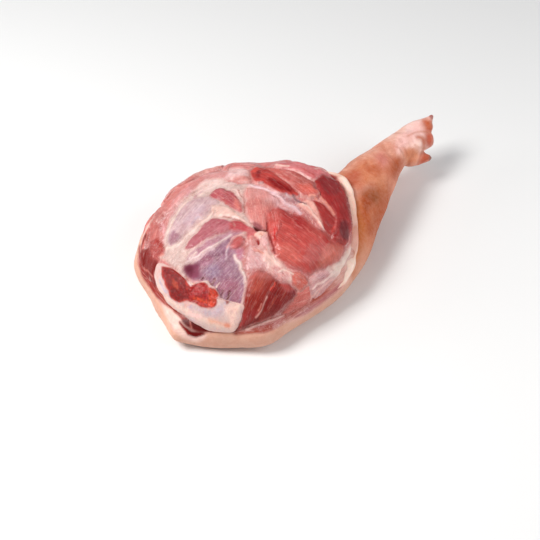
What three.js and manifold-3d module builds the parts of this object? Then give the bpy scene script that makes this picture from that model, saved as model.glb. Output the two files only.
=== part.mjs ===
// Raw whole pork shoulder with its shank and foot, lying skin side down.
// Millimetres, +Z up, +X from the butt end to the foot. The origin is in the middle of the resting patch.

import * as THREE from "three";
import { ParametricGeometry } from "three/addons/geometries/ParametricGeometry.js";
import { mergeVertices } from "three/addons/utils/BufferGeometryUtils.js";
import Module from "manifold-3d";

const wasm = await Module();
wasm.setup();

// Skin-covered body, from the butt to the pastern: place of the middle of each section, the way it
// heads in degrees, half its width, its lowest and highest point, how square it is, and the share of
// FAR_RISE that it has
const SECTIONS = [
  { x: -48, y: 9, heading: 0, half: 130, low: -10, high: 70, square: 2.5, far: 1 },
  { x: 12, y: 14, heading: 0, half: 135, low: -12, high: 74, square: 2.6, far: 1 },
  { x: 66, y: 3, heading: 4, half: 120, low: -12, high: 79, square: 2.6, far: 1 },
  { x: 112, y: -8, heading: 14, half: 90, low: -8, high: 85, square: 2.5, far: 0.6 },
  { x: 152, y: -13, heading: 24, half: 62, low: 0, high: 90, square: 2.3, far: 0.2 },
  { x: 194, y: -10, heading: 24, half: 44, low: 14, high: 91, square: 2.1, far: 0 },
  { x: 230, y: 0, heading: 18, half: 37.5, low: 28, high: 90, square: 2, far: 0 },
  { x: 264, y: 9, heading: 11, half: 29, low: 35, high: 85, square: 2, far: 0 },
  { x: 292, y: 14, heading: 2, half: 24.5, low: 40, high: 86, square: 2, far: 0 },
  { x: 318, y: 13, heading: 0, half: 24, low: 44, high: 85, square: 2.1, far: 0 },
  { x: 340, y: 12, heading: 0, half: 17, low: 50, high: 79, square: 2, far: 0 },
];
const BUTT_LENGTH = 101; // from the first section back to the end of the butt
const BUTT_ROUND = 56; // how far in from its end the butt reaches full height
const BUTT_SQUARE = 2.2; // above 2 the end of the butt is squarer than an ellipse
const BUTT_MIDDLE = 32; // height about which the butt rounds off
const BUTT_TOP = 46; // highest point of the skin at the end of the butt
const BUTT_SHEAR = 38; // how far the end of the butt leans to the near side
const BUTT_SHEAR_POWER = 6; // higher keeps the lean nearer to the very end
const BUTT_SWING = 32; // how far the butt swings to the far side on its way to the end
const BUTT_NARROW = 0.72; // below 1 the corners of the butt are cut back
const BUTT_TURN = 4; // degrees that the butt turns over its length
const PASTERN_END = 12; // rounding of the body between the toes
const FAR_RISE = 16; // how much higher the skin's side wall stands on the far side
const FLOOR = 0;

// Cut face: a low dome on the body, its outline a ring of radii every 30 degrees from +X
const FACE_MIDDLE = { x: 12, y: 4 };
const FACE_RADII = [152, 143, 134, 140, 145, 144, 143, 143, 130, 119, 124, 136];
const RIM_HEIGHTS = [68, 61, 54, 56, 54, 44, 36, 26, 26, 32, 42, 56];
const FACE_TOP = 118;
const FACE_TILT = { x: 0.1, y: 0.02 };
const FACE_FULLNESS = 0.72; // below 1 the dome is flatter on top and steeper at its rim
const WALL = 60; // length that the rim's wall adds to the radius in face coordinates
const UNDERCUT_DEPTH = 46; // how far the meat curls in under its own rim
const UNDERCUT_TURN = 0.36; // radians past the rim at which the meat is hidden in the body
const RELIEF_FADE = 0.6; // radians before that turn, over which the relief fades out

// Muscles that swell on the cut face, in face coordinates: middle, half sizes, turn in degrees and swell
const MUSCLES = [
  { name: "brisket muscle", at: [48, -88], long: 78, wide: 50, turn: -61, swell: 8 },
  { name: "raw flap", at: [24, -30], long: 34, wide: 10, turn: 51, swell: 8 },
  { name: "dark band", at: [75, 38], long: 52, wide: 16, turn: -82, swell: 4 },
  { name: "pale band", at: [108, 30], long: 58, wide: 18, turn: -78, swell: 7 },
  { name: "outer band", at: [162, 42], long: 50, wide: 20, turn: -45, swell: 5 },
  { name: "elbow muscle", at: [158, -52], long: 64, wide: 29, turn: -90, swell: 6 },
  { name: "neck muscle", at: [8, 50], long: 36, wide: 14, turn: 80, swell: 5 },
  { name: "pink strip", at: [-50, 17], long: 50, wide: 13, turn: -20, swell: 4 },
  { name: "upper blade muscle", at: [-60, 64], long: 62, wide: 22, turn: 8, swell: 4 },
  { name: "small oval", at: [-27, -18], long: 12, wide: 8, turn: -10, swell: 4 },
  { name: "brown muscle", at: [-55, -120], long: 62, wide: 34, turn: -20, swell: 9 },
  { name: "round end", at: [3, -133], long: 17, wide: 15, turn: 0, swell: 8 },
  { name: "near flap", at: [65, -152], long: 64, wide: 18, turn: -2, swell: 5 },
  { name: "near strip", at: [-62, -160], long: 62, wide: 11, turn: -15, swell: 5 },
  { name: "left shoulder band", at: [-98, 124], long: 74, wide: 30, turn: 30, swell: 6 },
  { name: "far band", at: [18, 138], long: 74, wide: 25, turn: -15, swell: 6 },
  { name: "butt muscle", at: [-160, 62], long: 34, wide: 22, turn: 60, swell: 4 },
  { name: "far lower band", at: [88, 128], long: 60, wide: 26, turn: -40, swell: 4 },
];
const SWELL_FULLNESS = 3; // higher keeps a muscle full further out
const SWELL_FOOT = 1.5; // above 1 a muscle runs out softly at its edge

// Grooves on the cut face, in face coordinates: the line they follow, half width and depth
const GROOVES = [
  { name: "pit", line: [[0, -24], [9, -35]], half: 13, depth: 10 },
  { name: "slit", line: [[10, -34], [2, -49], [-6, -67]], half: 9, depth: 6 },
  { name: "band groove", line: [[57, 62], [74, 20], [94, -16], [112, -45]], half: 9, depth: 4 },
  { name: "gap under the bone", line: [[-190, -30], [-186, -62], [-168, -100]], half: 12, depth: 9 },
];
const HOLLOW = { at: [-72, -35], long: 58, wide: 38, turn: 10, depth: 4 };

// Cut end of the blade bone with its cartilage: its middle in face coordinates and its outline as a
// ring of radii every 30 degrees
const BONE_MIDDLE = [-141, -38];
const BONE_RADII = [38, 36, 52, 80, 76, 52, 44, 40, 48, 74, 84, 62];
const BONE_RISE = 7; // how far it stands above the dome
const BONE_DEPTH = 9; // how far it sits below the dome
const BONE_SQUARE = 0.35; // below 1 the bone's edge is squarer
const BONE_GAP = 0.3; // clearance to the flesh on every side

// Fat edge of the skin where it is cut round the elbow: a ridge along the rim of the dome, thin at both ends
const CUFF_FROM = 38; // degrees round the face
const CUFF_TO = -66;
const CUFF_TURN = 79; // degrees from the top of the dome to the ridge
const CUFF_LIFT = 2;
const CUFF_WIDTH = 7;
const CUFF_HEIGHT = 8;
const CUFF_TAPER = 0.16; // part of its length over which each end thins out
const CUFF_STEPS = 12;

// Toes and dew claws, each a row of points with a radius
const TOES = [
  [[290, 18, 68, 14], [312, 20, 70, 15.5], [336, 21, 71, 15], [354, 22, 76, 14], [374, 24, 80, 10]],
  [[290, 4, 62, 15], [312, 0, 62, 16], [334, -1, 61, 15], [347, -1, 61, 12.5], [356, 0, 62, 8.5]],
];
const DEW_CLAWS = [
  [[290, -2, 56, 9.5], [306, -9, 53, 10.5], [320, -15, 50, 10], [333, -20, 47, 7]],
  [[290, 28, 56, 9.5], [306, 34, 53, 10.5], [320, 39, 50, 10], [332, 43, 47, 7]],
];
const TOE_TIP = 0.14; // part of its length over which each end of a toe is rounded

// Fineness of the surfaces
const FACE_ROWS = 33;
const FACE_AROUND = 80;
const BUTT_ROWS = 11;
const BODY_ROWS = 28;
const BODY_AROUND = 46;
const CUFF_ROWS = 34;
const CUFF_AROUND = 8;
const TOE_ROWS = 14;
const TOE_AROUND = 14;
const CAP_ROWS = 4;
const BONE_ROWS = 12;
const BONE_AROUND = 40;
const MERGE_TOLERANCE = 1e-3;

const { clamp, degToRad, lerp } = THREE.MathUtils;
const QUARTER = Math.PI / 2;
const signedPower = (value, power) => Math.sign(value) * Math.abs(value) ** power;

// Smooth closed curve through values spaced evenly round a circle, as a sum of waves
function waves(values) {
  const count = values.length;
  const terms = [];
  for (let k = 0; k <= count / 2; k += 1) {
    let even = 0;
    let odd = 0;
    values.forEach((value, i) => {
      even += value * Math.cos((2 * Math.PI * k * i) / count);
      odd += value * Math.sin((2 * Math.PI * k * i) / count);
    });
    const weight = (k === 0 || k === count / 2 ? 1 : 2) / count;
    terms.push({ k, even: even * weight, odd: odd * weight });
  }
  return (angle) => terms.reduce(
    (sum, term) => sum + term.even * Math.cos(term.k * angle) + term.odd * Math.sin(term.k * angle),
    0,
  );
}
const faceRadius = waves(FACE_RADII);
const rimHeight = waves(RIM_HEIGHTS);
const boneRadius = waves(BONE_RADII);

// Catmull-Rom curve through a list of numbers, at place t from 0 to the last index
function through(values, t) {
  const last = values.length - 1;
  const i = Math.min(Math.floor(t), last - 1);
  const f = t - i;
  const b = values[i];
  const c = values[i + 1];
  const a = i > 0 ? values[i - 1] : 2 * b - c;
  const d = i < last - 1 ? values[i + 2] : 2 * c - b;
  return 0.5 * (2 * b + (c - a) * f + (2 * a - 5 * b + 4 * c - d) * f ** 2 + (3 * b - a - 3 * c + d) * f ** 3);
}

// Closed body from a function of u and v, both 0 to 1: v goes round, and u runs from pole to pole
function closedGeometry(point, rows, around) {
  const grid = new ParametricGeometry((u, v, target) => point(v, u % 1, target), around, rows);
  grid.deleteAttribute("normal");
  grid.deleteAttribute("uv");
  const geometry = mergeVertices(grid, MERGE_TOLERANCE);
  const corners = Array.from(geometry.index.array);
  const kept = [];
  for (let i = 0; i < corners.length; i += 3) {
    const [a, b, c] = corners.slice(i, i + 3);
    if (a !== b && b !== c && c !== a) kept.push(a, b, c);
  }
  geometry.setIndex(kept);
  return geometry;
}

// Solid from a closed geometry, turned so that its faces point out
function toSolid(geometry) {
  const vertProperties = new Float32Array(geometry.attributes.position.array);
  const make = (triVerts) => new wasm.Manifold(new wasm.Mesh({ numProp: 3, vertProperties, triVerts }));
  const solid = make(new Uint32Array(geometry.index.array));
  return solid.volume() > 0 ? solid : make(new Uint32Array(geometry.index.array).reverse());
}

function toMesh(name, solid, colour, roughness) {
  const { vertProperties, triVerts } = solid.getMesh();
  const geometry = new THREE.BufferGeometry();
  geometry.setAttribute("position", new THREE.BufferAttribute(new Float32Array(vertProperties), 3));
  geometry.setIndex(new THREE.BufferAttribute(new Uint32Array(triVerts), 1));
  geometry.computeVertexNormals();
  const material = new THREE.MeshStandardMaterial({ color: colour, roughness, metalness: 0 });
  const mesh = new THREE.Mesh(geometry, material);
  mesh.name = name;
  return mesh;
}

// Point of a section at angle phi: a squared ellipse that stands across its heading, flat on the floor
function sectionPoint(section, phi, target) {
  const power = 2 / section.square;
  const across = section.half * signedPower(Math.cos(phi), power);
  const middle = (section.high + section.low) / 2 + FAR_RISE * Math.max(Math.cos(phi), 0) * section.far;
  const rise = ((section.high - section.low) / 2) * signedPower(Math.sin(phi), power);
  const heading = degToRad(section.heading);
  return target.set(
    section.x - Math.sin(heading) * across,
    section.y + Math.cos(heading) * across,
    Math.max(middle + rise, FLOOR),
  );
}

// Section of the butt, at turn 0 on its end up to a quarter turn at the first full section
function buttSection(turn) {
  const first = SECTIONS[0];
  const back = Math.cos(turn);
  const inward = clamp((BUTT_LENGTH * (1 - back)) / BUTT_ROUND, 0, 1);
  const full = Math.sqrt(1 - (1 - inward) ** BUTT_SQUARE);
  return {
    ...first,
    x: first.x - BUTT_LENGTH * back,
    y: first.y + BUTT_SWING * Math.sin(turn) * back ** 2 - BUTT_SHEAR * back ** BUTT_SHEAR_POWER,
    heading: first.heading - BUTT_TURN * back,
    half: first.half * Math.sin(turn) * lerp(1, BUTT_NARROW, back ** 2),
    low: lerp(BUTT_MIDDLE, first.low, full),
    high: lerp(BUTT_MIDDLE, lerp(first.high, BUTT_TOP, back), full),
    far: 1 - back,
  };
}

// Section of the body between its named ones
function bodySection(t) {
  const section = {};
  for (const key of Object.keys(SECTIONS[0])) {
    section[key] = through(SECTIONS.map((row) => row[key]), t);
  }
  return section;
}

// Section that closes the body between the toes
function pasternSection(turn) {
  const last = SECTIONS.at(-1);
  const middle = (last.low + last.high) / 2;
  return {
    ...last,
    x: last.x + PASTERN_END * Math.sin(turn),
    half: last.half * Math.cos(turn),
    low: lerp(middle, last.low, Math.cos(turn)),
    high: lerp(middle, last.high, Math.cos(turn)),
  };
}

function bodySolid() {
  const sections = [];
  for (let i = 0; i < BUTT_ROWS; i += 1) sections.push(buttSection((QUARTER * i) / BUTT_ROWS));
  for (let i = 0; i <= BODY_ROWS; i += 1) sections.push(bodySection(((SECTIONS.length - 1) * i) / BODY_ROWS));
  for (let i = 1; i <= CAP_ROWS; i += 1) sections.push(pasternSection((QUARTER * i) / CAP_ROWS));
  const rows = sections.length - 1;
  const point = (u, v, target) => sectionPoint(sections[Math.round(u * rows)], v * 2 * Math.PI, target);
  return toSolid(closedGeometry(point, rows, BODY_AROUND));
}

// Part of a pad's reach at which a place of the face lies: 0 in its middle, 1 on its edge
function padReach(pad, x, y) {
  const turn = degToRad(pad.turn);
  const dx = x - pad.at[0];
  const dy = y - pad.at[1];
  const along = (dx * Math.cos(turn) + dy * Math.sin(turn)) / pad.long;
  const across = (dy * Math.cos(turn) - dx * Math.sin(turn)) / pad.wide;
  return Math.hypot(along, across);
}

// Distance from a place of the face to a line of straight stretches
function lineDistance(line, x, y) {
  let nearest = Infinity;
  for (let i = 0; i < line.length - 1; i += 1) {
    const [ax, ay] = line[i];
    const bx = line[i + 1][0] - ax;
    const by = line[i + 1][1] - ay;
    const part = clamp(((x - ax) * bx + (y - ay) * by) / (bx * bx + by * by), 0, 1);
    nearest = Math.min(nearest, Math.hypot(x - ax - part * bx, y - ay - part * by));
  }
  return nearest;
}

// Share of its depth that a hollow has at a reach from its middle, which runs out softly at its edge
function hollowShare(reach) {
  return (1 - Math.min(reach, 1) ** 2) ** 2;
}

// Height of the relief over the smooth dome: the highest muscle there, less the hollow and the grooves
function relief(x, y) {
  let height = 0;
  for (const muscle of MUSCLES) {
    const reach = Math.min(padReach(muscle, x, y), 1);
    height = Math.max(height, muscle.swell * (1 - reach ** SWELL_FULLNESS) ** SWELL_FOOT);
  }
  height -= HOLLOW.depth * hollowShare(padReach(HOLLOW, x, y));
  for (const groove of GROOVES) {
    height -= groove.depth * hollowShare(lineDistance(groove.line, x, y) / groove.half);
  }
  return height;
}

// Point of the smooth dome, lifted along its normal. The turn is 0 at the top and a quarter at the rim
function domePoint(turn, angle, lift, target) {
  const radius = faceRadius(angle);
  const out = radius * Math.sin(turn);
  const dx = out * Math.cos(angle);
  const dy = out * Math.sin(angle);
  const rim = rimHeight(angle);
  const top = FACE_TOP + FACE_TILT.x * dx + FACE_TILT.y * dy;
  const height = Math.cos(turn) > 0
    ? lerp(rim, top, Math.cos(turn) ** FACE_FULLNESS)
    : rim + UNDERCUT_DEPTH * Math.cos(turn);
  const outward = WALL * Math.sin(turn);
  const upward = radius * Math.cos(turn);
  const length = Math.hypot(outward, upward);
  return target.set(
    FACE_MIDDLE.x + dx + (lift * outward * Math.cos(angle)) / length,
    FACE_MIDDLE.y + dy + (lift * outward * Math.sin(angle)) / length,
    height + (lift * upward) / length,
  );
}

// Face coordinates lay the dome flat round its middle: at a turn t from the top the distance from the
// middle is radius * sin t + WALL * (1 - cos t). This is the turn at a distance
function turnAt(distance, radius) {
  const slant = Math.hypot(radius, WALL);
  return Math.atan2(WALL, radius) + Math.asin(clamp((distance - WALL) / slant, -1, 1));
}

// Point over the face coordinates x and y, at a height above the smooth dome
function facePoint(x, y, lift, target) {
  const dx = x - FACE_MIDDLE.x;
  const dy = y - FACE_MIDDLE.y;
  const angle = Math.atan2(dy, dx);
  return domePoint(turnAt(Math.hypot(dx, dy), faceRadius(angle)), angle, lift, target);
}

function meatSolid() {
  const last = QUARTER + UNDERCUT_TURN;
  const point = (u, v, target) => {
    const angle = v * 2 * Math.PI;
    const radius = faceRadius(angle);
    const row = Math.round(u * (FACE_ROWS + 1));
    if (row > FACE_ROWS) {
      domePoint(last, 0, 0, target);
      return target.set(FACE_MIDDLE.x, FACE_MIDDLE.y, target.z);
    }
    const full = radius * Math.sin(last) + WALL * (1 - Math.cos(last));
    const distance = (full * row) / FACE_ROWS;
    const turn = turnAt(distance, radius);
    const x = FACE_MIDDLE.x + distance * Math.cos(angle);
    const y = FACE_MIDDLE.y + distance * Math.sin(angle);
    const shown = clamp((last - turn) / RELIEF_FADE, 0, 1);
    return domePoint(turn, angle, relief(x, y) * shown, target);
  };
  return toSolid(closedGeometry(point, FACE_ROWS + 1, FACE_AROUND));
}

// Plate that follows the dome over the bone's outline, grown on all sides
function boneSolid(growth) {
  const middle = (BONE_RISE - BONE_DEPTH) / 2;
  const half = (BONE_RISE + BONE_DEPTH) / 2 + growth;
  const point = (u, v, target) => {
    const angle = v * 2 * Math.PI;
    const edge = u > 0 && u < 1 ? Math.sin(u * Math.PI) ** BONE_SQUARE : 0;
    const out = (boneRadius(angle) + growth) * edge;
    const lift = middle + half * signedPower(Math.cos(u * Math.PI), BONE_SQUARE);
    const x = BONE_MIDDLE[0] + out * Math.cos(angle);
    const y = BONE_MIDDLE[1] + out * Math.sin(angle);
    return facePoint(x, y, lift, target);
  };
  return toSolid(closedGeometry(point, BONE_ROWS, BONE_AROUND));
}

// Round bar along a line of points, half as wide and as high as sizeAt says at each part t of its length
function barSolid(line, sizeAt, rows, around) {
  const route = new THREE.CatmullRomCurve3(line.map(([x, y, z]) => new THREE.Vector3(x, y, z)));
  const place = new THREE.Vector3();
  const ahead = new THREE.Vector3();
  const side = new THREE.Vector3();
  const up = new THREE.Vector3();
  const point = (u, v, target) => {
    const t = (1 - Math.cos(u * Math.PI)) / 2;
    const { wide, high } = sizeAt(t);
    route.getPoint(t, place);
    route.getTangent(t, ahead);
    side.set(-ahead.y, ahead.x, 0).normalize();
    up.crossVectors(ahead, side);
    const phi = v * 2 * Math.PI;
    return target.copy(place)
      .addScaledVector(side, wide * Math.cos(phi))
      .addScaledVector(up, high * Math.sin(phi));
  };
  return toSolid(closedGeometry(point, rows, around));
}

// Share of its full size that a bar has at part t of its length, where each end is rounded over a part
function roundedEnds(t, part) {
  const inward = clamp(Math.min(t, 1 - t) / part, 0, 1);
  return Math.sqrt(1 - (1 - inward) ** 2);
}

function cuffSolid() {
  const line = [];
  for (let i = 0; i <= CUFF_STEPS; i += 1) {
    const angle = degToRad(lerp(CUFF_FROM, CUFF_TO, i / CUFF_STEPS));
    line.push(domePoint(degToRad(CUFF_TURN), angle, CUFF_LIFT, new THREE.Vector3()).toArray());
  }
  const sizeAt = (t) => {
    const share = roundedEnds(t, CUFF_TAPER);
    return { wide: CUFF_WIDTH * share, high: CUFF_HEIGHT * share };
  };
  return barSolid(line, sizeAt, CUFF_ROWS, CUFF_AROUND);
}

function toeSolid(points) {
  const radii = points.map((point) => point[3]);
  const sizeAt = (t) => {
    const radius = through(radii, t * (radii.length - 1)) * roundedEnds(t, TOE_TIP);
    return { wide: radius, high: radius };
  };
  return barSolid(points, sizeAt, TOE_ROWS, TOE_AROUND);
}

const pocket = boneSolid(BONE_GAP);
const flesh = [meatSolid(), cuffSolid(), ...TOES.map(toeSolid), ...DEW_CLAWS.map(toeSolid)]
  .reduce((joined, piece) => joined.add(piece), bodySolid())
  .subtract(pocket);

const shoulder = new THREE.Group();
shoulder.add(toMesh("pork_shoulder", flesh, 0xb5544a, 0.45));
shoulder.add(toMesh("blade_bone", boneSolid(0), 0xe4c8bd, 0.5));

export default shoulder;
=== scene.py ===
"""Looks of a raw whole pork shoulder with its shank and foot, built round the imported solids.

Lengths are millimetres until a mesh is made, and +X runs from the butt end to the foot. The cut face is a
low dome, and its features are laid out in face coordinates: millimetres on the dome laid flat.
"""

import logging
import math
from dataclasses import dataclass, field
from enum import Enum

import bpy
import numpy as np
from mathutils import Matrix, Vector


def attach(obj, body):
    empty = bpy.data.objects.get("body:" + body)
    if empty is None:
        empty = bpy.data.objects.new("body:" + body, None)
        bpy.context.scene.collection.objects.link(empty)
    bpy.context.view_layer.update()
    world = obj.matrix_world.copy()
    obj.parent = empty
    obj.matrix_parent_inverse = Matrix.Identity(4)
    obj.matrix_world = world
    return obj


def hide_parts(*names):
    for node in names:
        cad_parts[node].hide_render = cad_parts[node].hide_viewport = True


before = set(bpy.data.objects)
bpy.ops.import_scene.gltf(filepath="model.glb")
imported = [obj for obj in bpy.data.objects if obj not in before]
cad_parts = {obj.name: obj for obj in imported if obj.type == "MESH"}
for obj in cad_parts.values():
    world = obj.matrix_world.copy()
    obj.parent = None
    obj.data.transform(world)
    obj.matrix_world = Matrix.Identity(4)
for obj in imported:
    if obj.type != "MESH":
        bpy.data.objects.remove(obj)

Array = np.ndarray
Point2 = tuple[float, float]
Point3 = tuple[float, float, float]
Table = tuple[tuple[float, ...], ...]
Colour = tuple[float, float, float]
Faces = list[tuple[int, ...]]
Object = bpy.types.Object
Material = bpy.types.Material
Node = bpy.types.Node
Socket = bpy.types.NodeSocket
Tree = bpy.types.NodeTree

MM = 0.001
BODY = "root"
FLESH_NODE = "pork_shoulder"
BONE_NODE = "blade_bone"
IMAGE_SIDE = 540

log = logging.getLogger("pork_shoulder")


class Slot(Enum):
    """Material slots."""

    FLESH = "flesh_and_skin"
    BONE = "bone"


def srgb(code: int) -> Colour:
    """Linear colour of a display colour written as 0xRRGGBB."""
    values = np.array([code >> 16, code >> 8 & 255, code & 255]) / 255.0
    linear = np.where(values <= 0.04045, values / 12.92, ((values + 0.055) / 1.055) ** 2.4)
    return tuple(float(value) for value in linear)


# Curves, noise and distances, all on whole arrays


def smoothstep(low: float, high: float, value: Array) -> Array:
    """Smooth rise from 0 at low to 1 at high; high may be below low."""
    part = np.clip((value - low) / (high - low), 0.0, 1.0)
    return part * part * (3.0 - 2.0 * part)


def blend(first: Array, second: Array, share: Array) -> Array:
    """First where share is 0 and second where it is 1; share is one value a row."""
    share = share[:, None] if np.ndim(first) == 2 or np.ndim(second) == 2 else share
    return first + (second - first) * share


def tinted(tint: Array, code: int, share: Array) -> Array:
    """Rows of colour with a display colour laid over them by a share."""
    return blend(tint, np.array(srgb(code))[None], share)


def heading(angle: Array) -> Array:
    """Unit vectors in the plane at angles from +X."""
    return np.column_stack([np.cos(angle), np.sin(angle)])


def circle(count: int) -> Array:
    """Angles spaced evenly round a circle."""
    return np.linspace(0.0, 2.0 * np.pi, count, endpoint=False)


def rounded_ends(part: Array, taper: float) -> Array:
    """Share of the full width along a part from 0 to 1: quarter circles over the taper at both ends."""
    inward = np.clip(np.minimum(part, 1.0 - part) / taper, 0.0, 1.0)
    return np.sqrt(1.0 - (1.0 - inward) ** 2)


def waves(values: tuple[float, ...], angle: Array) -> Array:
    """Smooth closed curve through values spaced evenly round a circle, as a sum of waves.

    Args:
        values: the curve's values, an even number of them.
        angle: radians at which the curve is wanted.

    Returns:
        The sum over k of even_k cos(k angle) + odd_k sin(k angle).
    """
    count = len(values)
    ring = 2.0 * np.pi * np.arange(count) / count
    total = np.zeros_like(angle, dtype=float)
    for k in range(count // 2 + 1):
        weight = (1.0 if k in (0, count // 2) else 2.0) / count
        even = weight * np.dot(values, np.cos(k * ring))
        odd = weight * np.dot(values, np.sin(k * ring))
        total += even * np.cos(k * angle) + odd * np.sin(k * angle)
    return total


def through(values: Array, place: Array) -> Array:
    """Catmull-Rom curve through rows of values.

    Args:
        values: one row for each point of the curve.
        place: from 0 to the last index.

    Returns:
        One row for each place, a cubic between the two nearest rows.
    """
    values = np.asarray(values, dtype=float)
    rows = values.reshape(len(values), -1)
    rows = np.vstack([2 * rows[0] - rows[1], rows, 2 * rows[-1] - rows[-2]])
    index = np.minimum(place.astype(int), len(values) - 2)
    part = (place - index)[:, None]
    a, b, c, d = (rows[index + step] for step in range(4))
    cubic = 2 * b + (c - a) * part + (2 * a - 5 * b + 4 * c - d) * part**2 + (3 * b - a - 3 * c + d) * part**3
    return (0.5 * cubic).reshape((len(place),) + values.shape[1:])


def path(pairs: str) -> Array:
    """Points from the text of an outline: x,y pairs with spaces between them."""
    return np.array([pair.split(",") for pair in pairs.split()], dtype=float)


def smooth_line(points: Array | tuple[Point2, ...], closed: bool, steps: int = 6) -> Array:
    """Dense smooth line through a few points, closed on itself or not."""
    rows = np.asarray(points, dtype=float)
    if closed:
        rows = np.vstack([rows[-1:], rows, rows[:2]])
        return through(rows, np.arange(1.0, len(rows) - 2, 1.0 / steps))
    return through(rows, np.linspace(0.0, len(rows) - 1.0, (len(rows) - 1) * steps + 1))


def lattice(cells: Array, seed: int) -> Array:
    """Random value from 0 to 1 for each whole-numbered cell, always the same for the same seed."""
    mask = np.int64(0xFFFFFFFF)
    mixed = cells[..., 0] * 374761393 + cells[..., 1] * 668265263 + cells[..., 2] * 362437 + seed * 974711
    mixed = mixed & mask
    mixed = ((mixed ^ (mixed >> 13)) * 1274126177) & mask
    mixed = ((mixed ^ (mixed >> 15)) * 461845907) & mask
    return (mixed ^ (mixed >> 16)).astype(float) / float(mask)


def noise(points: Array, size: float, seed: int, octaves: int = 1) -> Array:
    """Soft noise from -1 to 1: random values on a lattice, joined smoothly, with finer ones added.

    Args:
        points: places in two or three coordinates.
        size: width of the largest lumps, in the units of points.
        seed: picks the pattern.
        octaves: how many sizes are added, each half as large and half as strong.

    Returns:
        One value for each place.
    """
    if points.shape[1] == 2:
        points = np.column_stack([points, np.zeros(len(points))])
    total = np.zeros(len(points))
    strength = 1.0
    weight = 0.0
    for octave in range(octaves):
        scaled = points / size * 2.0**octave
        cell = np.floor(scaled).astype(np.int64)
        part = scaled - cell
        part = part * part * (3.0 - 2.0 * part)
        for corner in np.ndindex(2, 2, 2):
            share = np.prod(np.where(np.array(corner) == 1, part, 1.0 - part), axis=1)
            total += strength * share * (2.0 * lattice(cell + np.array(corner), seed + 17 * octave) - 1.0)
        weight += strength
        strength *= 0.5
    return total / weight


def jitter(points: Array, size: float, seeds: tuple[int, ...], octaves: int) -> Array:
    """Soft noise with one column for each seed."""
    return np.column_stack([noise(points, size, seed, octaves) for seed in seeds])


def axes_across(line: Array) -> tuple[Array, Array]:
    """Level and upward unit vectors across a line, from its slope at each point."""
    ahead = np.gradient(line, axis=0)
    ahead /= np.linalg.norm(ahead, axis=1, keepdims=True)
    side = np.cross([0.0, 0.0, 1.0], ahead)
    side /= np.linalg.norm(side, axis=1, keepdims=True)
    return side, np.cross(ahead, side)


def line_distance(places: Array, line: Array, closed: bool, reach: float = 30.0) -> Array:
    """Distance of places to a line, below 0 inside a closed one, and reach where it is further off.

    Args:
        places: points in two coordinates.
        line: dense points of the line.
        closed: whether the line closes on itself.
        reach: distances past this aren't worked out.

    Returns:
        One distance for each place.
    """
    starts = line if closed else line[:-1]
    ends = np.roll(line, -1, axis=0) if closed else line[1:]
    result = np.full(len(places), reach)
    low = line.min(axis=0) - reach
    high = line.max(axis=0) + reach
    near = np.nonzero(np.all((places > low) & (places < high), axis=1))[0]
    step = ends - starts
    from_start = places[near, None, :] - starts[None]
    length = np.maximum((step**2).sum(axis=1), 1e-9)
    part = np.clip((from_start * step).sum(axis=2) / length, 0.0, 1.0)
    distance = np.sqrt(((from_start - part[..., None] * step) ** 2).sum(axis=2)).min(axis=1)
    if closed:
        y = places[near, None, 1]
        straddles = (starts[:, 1] > y) != (ends[:, 1] > y)
        rise = np.where(step[:, 1] == 0.0, 1e-9, step[:, 1])
        crossing = starts[:, 0] + step[:, 0] * (y - starts[:, 1]) / rise
        inside = (straddles & (places[near, None, 0] < crossing)).sum(axis=1) % 2 == 1
        distance = np.where(inside, -distance, distance)
    result[near] = np.minimum(distance, reach)
    return result


# Meshes


def grid_faces(rows: int, columns: int, closed: bool) -> Array:
    """Four-sided faces of a grid of points, row after row, with its columns closed into rings or not."""
    row = np.arange(rows - 1)[:, None]
    column = np.arange(columns if closed else columns - 1)[None]
    following = (column + 1) % columns
    corners = [row * columns + column, row * columns + following]
    corners += [(row + 1) * columns + following, (row + 1) * columns + column]
    return np.stack([np.broadcast_to(corner, (rows - 1, column.size)).ravel() for corner in corners], axis=1)


def capped_rings(rings: Array) -> tuple[Array, Faces]:
    """Closed tube through rings of points, with a fan at each end round the end ring's middle.

    Args:
        rings: points in the shape (rows, around, 3), turning so that the faces point outwards.

    Returns:
        The points and the faces.
    """
    rows, around, _ = rings.shape
    points = np.vstack([rings.reshape(-1, 3), rings[0].mean(axis=0), rings[-1].mean(axis=0)])
    faces = [tuple(face) for face in grid_faces(rows, around, True).tolist()]
    ring = np.arange(around)
    following = (ring + 1) % around
    first = rows * around
    last = (rows - 1) * around
    faces += [(first, int(b), int(a)) for a, b in zip(ring, following)]
    faces += [(first + 1, last + int(a), last + int(b)) for a, b in zip(ring, following)]
    return points, faces


def add_object(name: str, data: bpy.types.ID) -> Object:
    """New object in the scene."""
    made = bpy.data.objects.new(name, data)
    bpy.context.scene.collection.objects.link(made)
    return made


def make_piece(name: str, points: Array, faces: Faces | Array) -> Object:
    """Object with a smooth-shaded mesh, its place in its points.

    Args:
        name: the piece's name.
        points: places in millimetres.
        faces: corner numbers of each face.

    Returns:
        The new object, linked to the scene, with its faces pointing outwards.
    """
    mesh = bpy.data.meshes.new(name)
    faces = faces.tolist() if isinstance(faces, np.ndarray) else faces
    mesh.from_pydata((points * MM).tolist(), [], faces)
    mesh.validate()
    mesh.shade_smooth()
    return add_object(name, mesh)


def places_of(piece: Object) -> Array:
    """Places of a piece's points in millimetres."""
    flat = np.empty(len(piece.data.vertices) * 3, dtype=np.float32)
    piece.data.vertices.foreach_get("co", flat)
    return flat.reshape(-1, 3).astype(float) / MM


def normals_of(piece: Object) -> Array:
    """Normals at a piece's points."""
    flat = np.empty(len(piece.data.vertices) * 3, dtype=np.float32)
    piece.data.vertices.foreach_get("normal", flat)
    return flat.reshape(-1, 3).astype(float)


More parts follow.
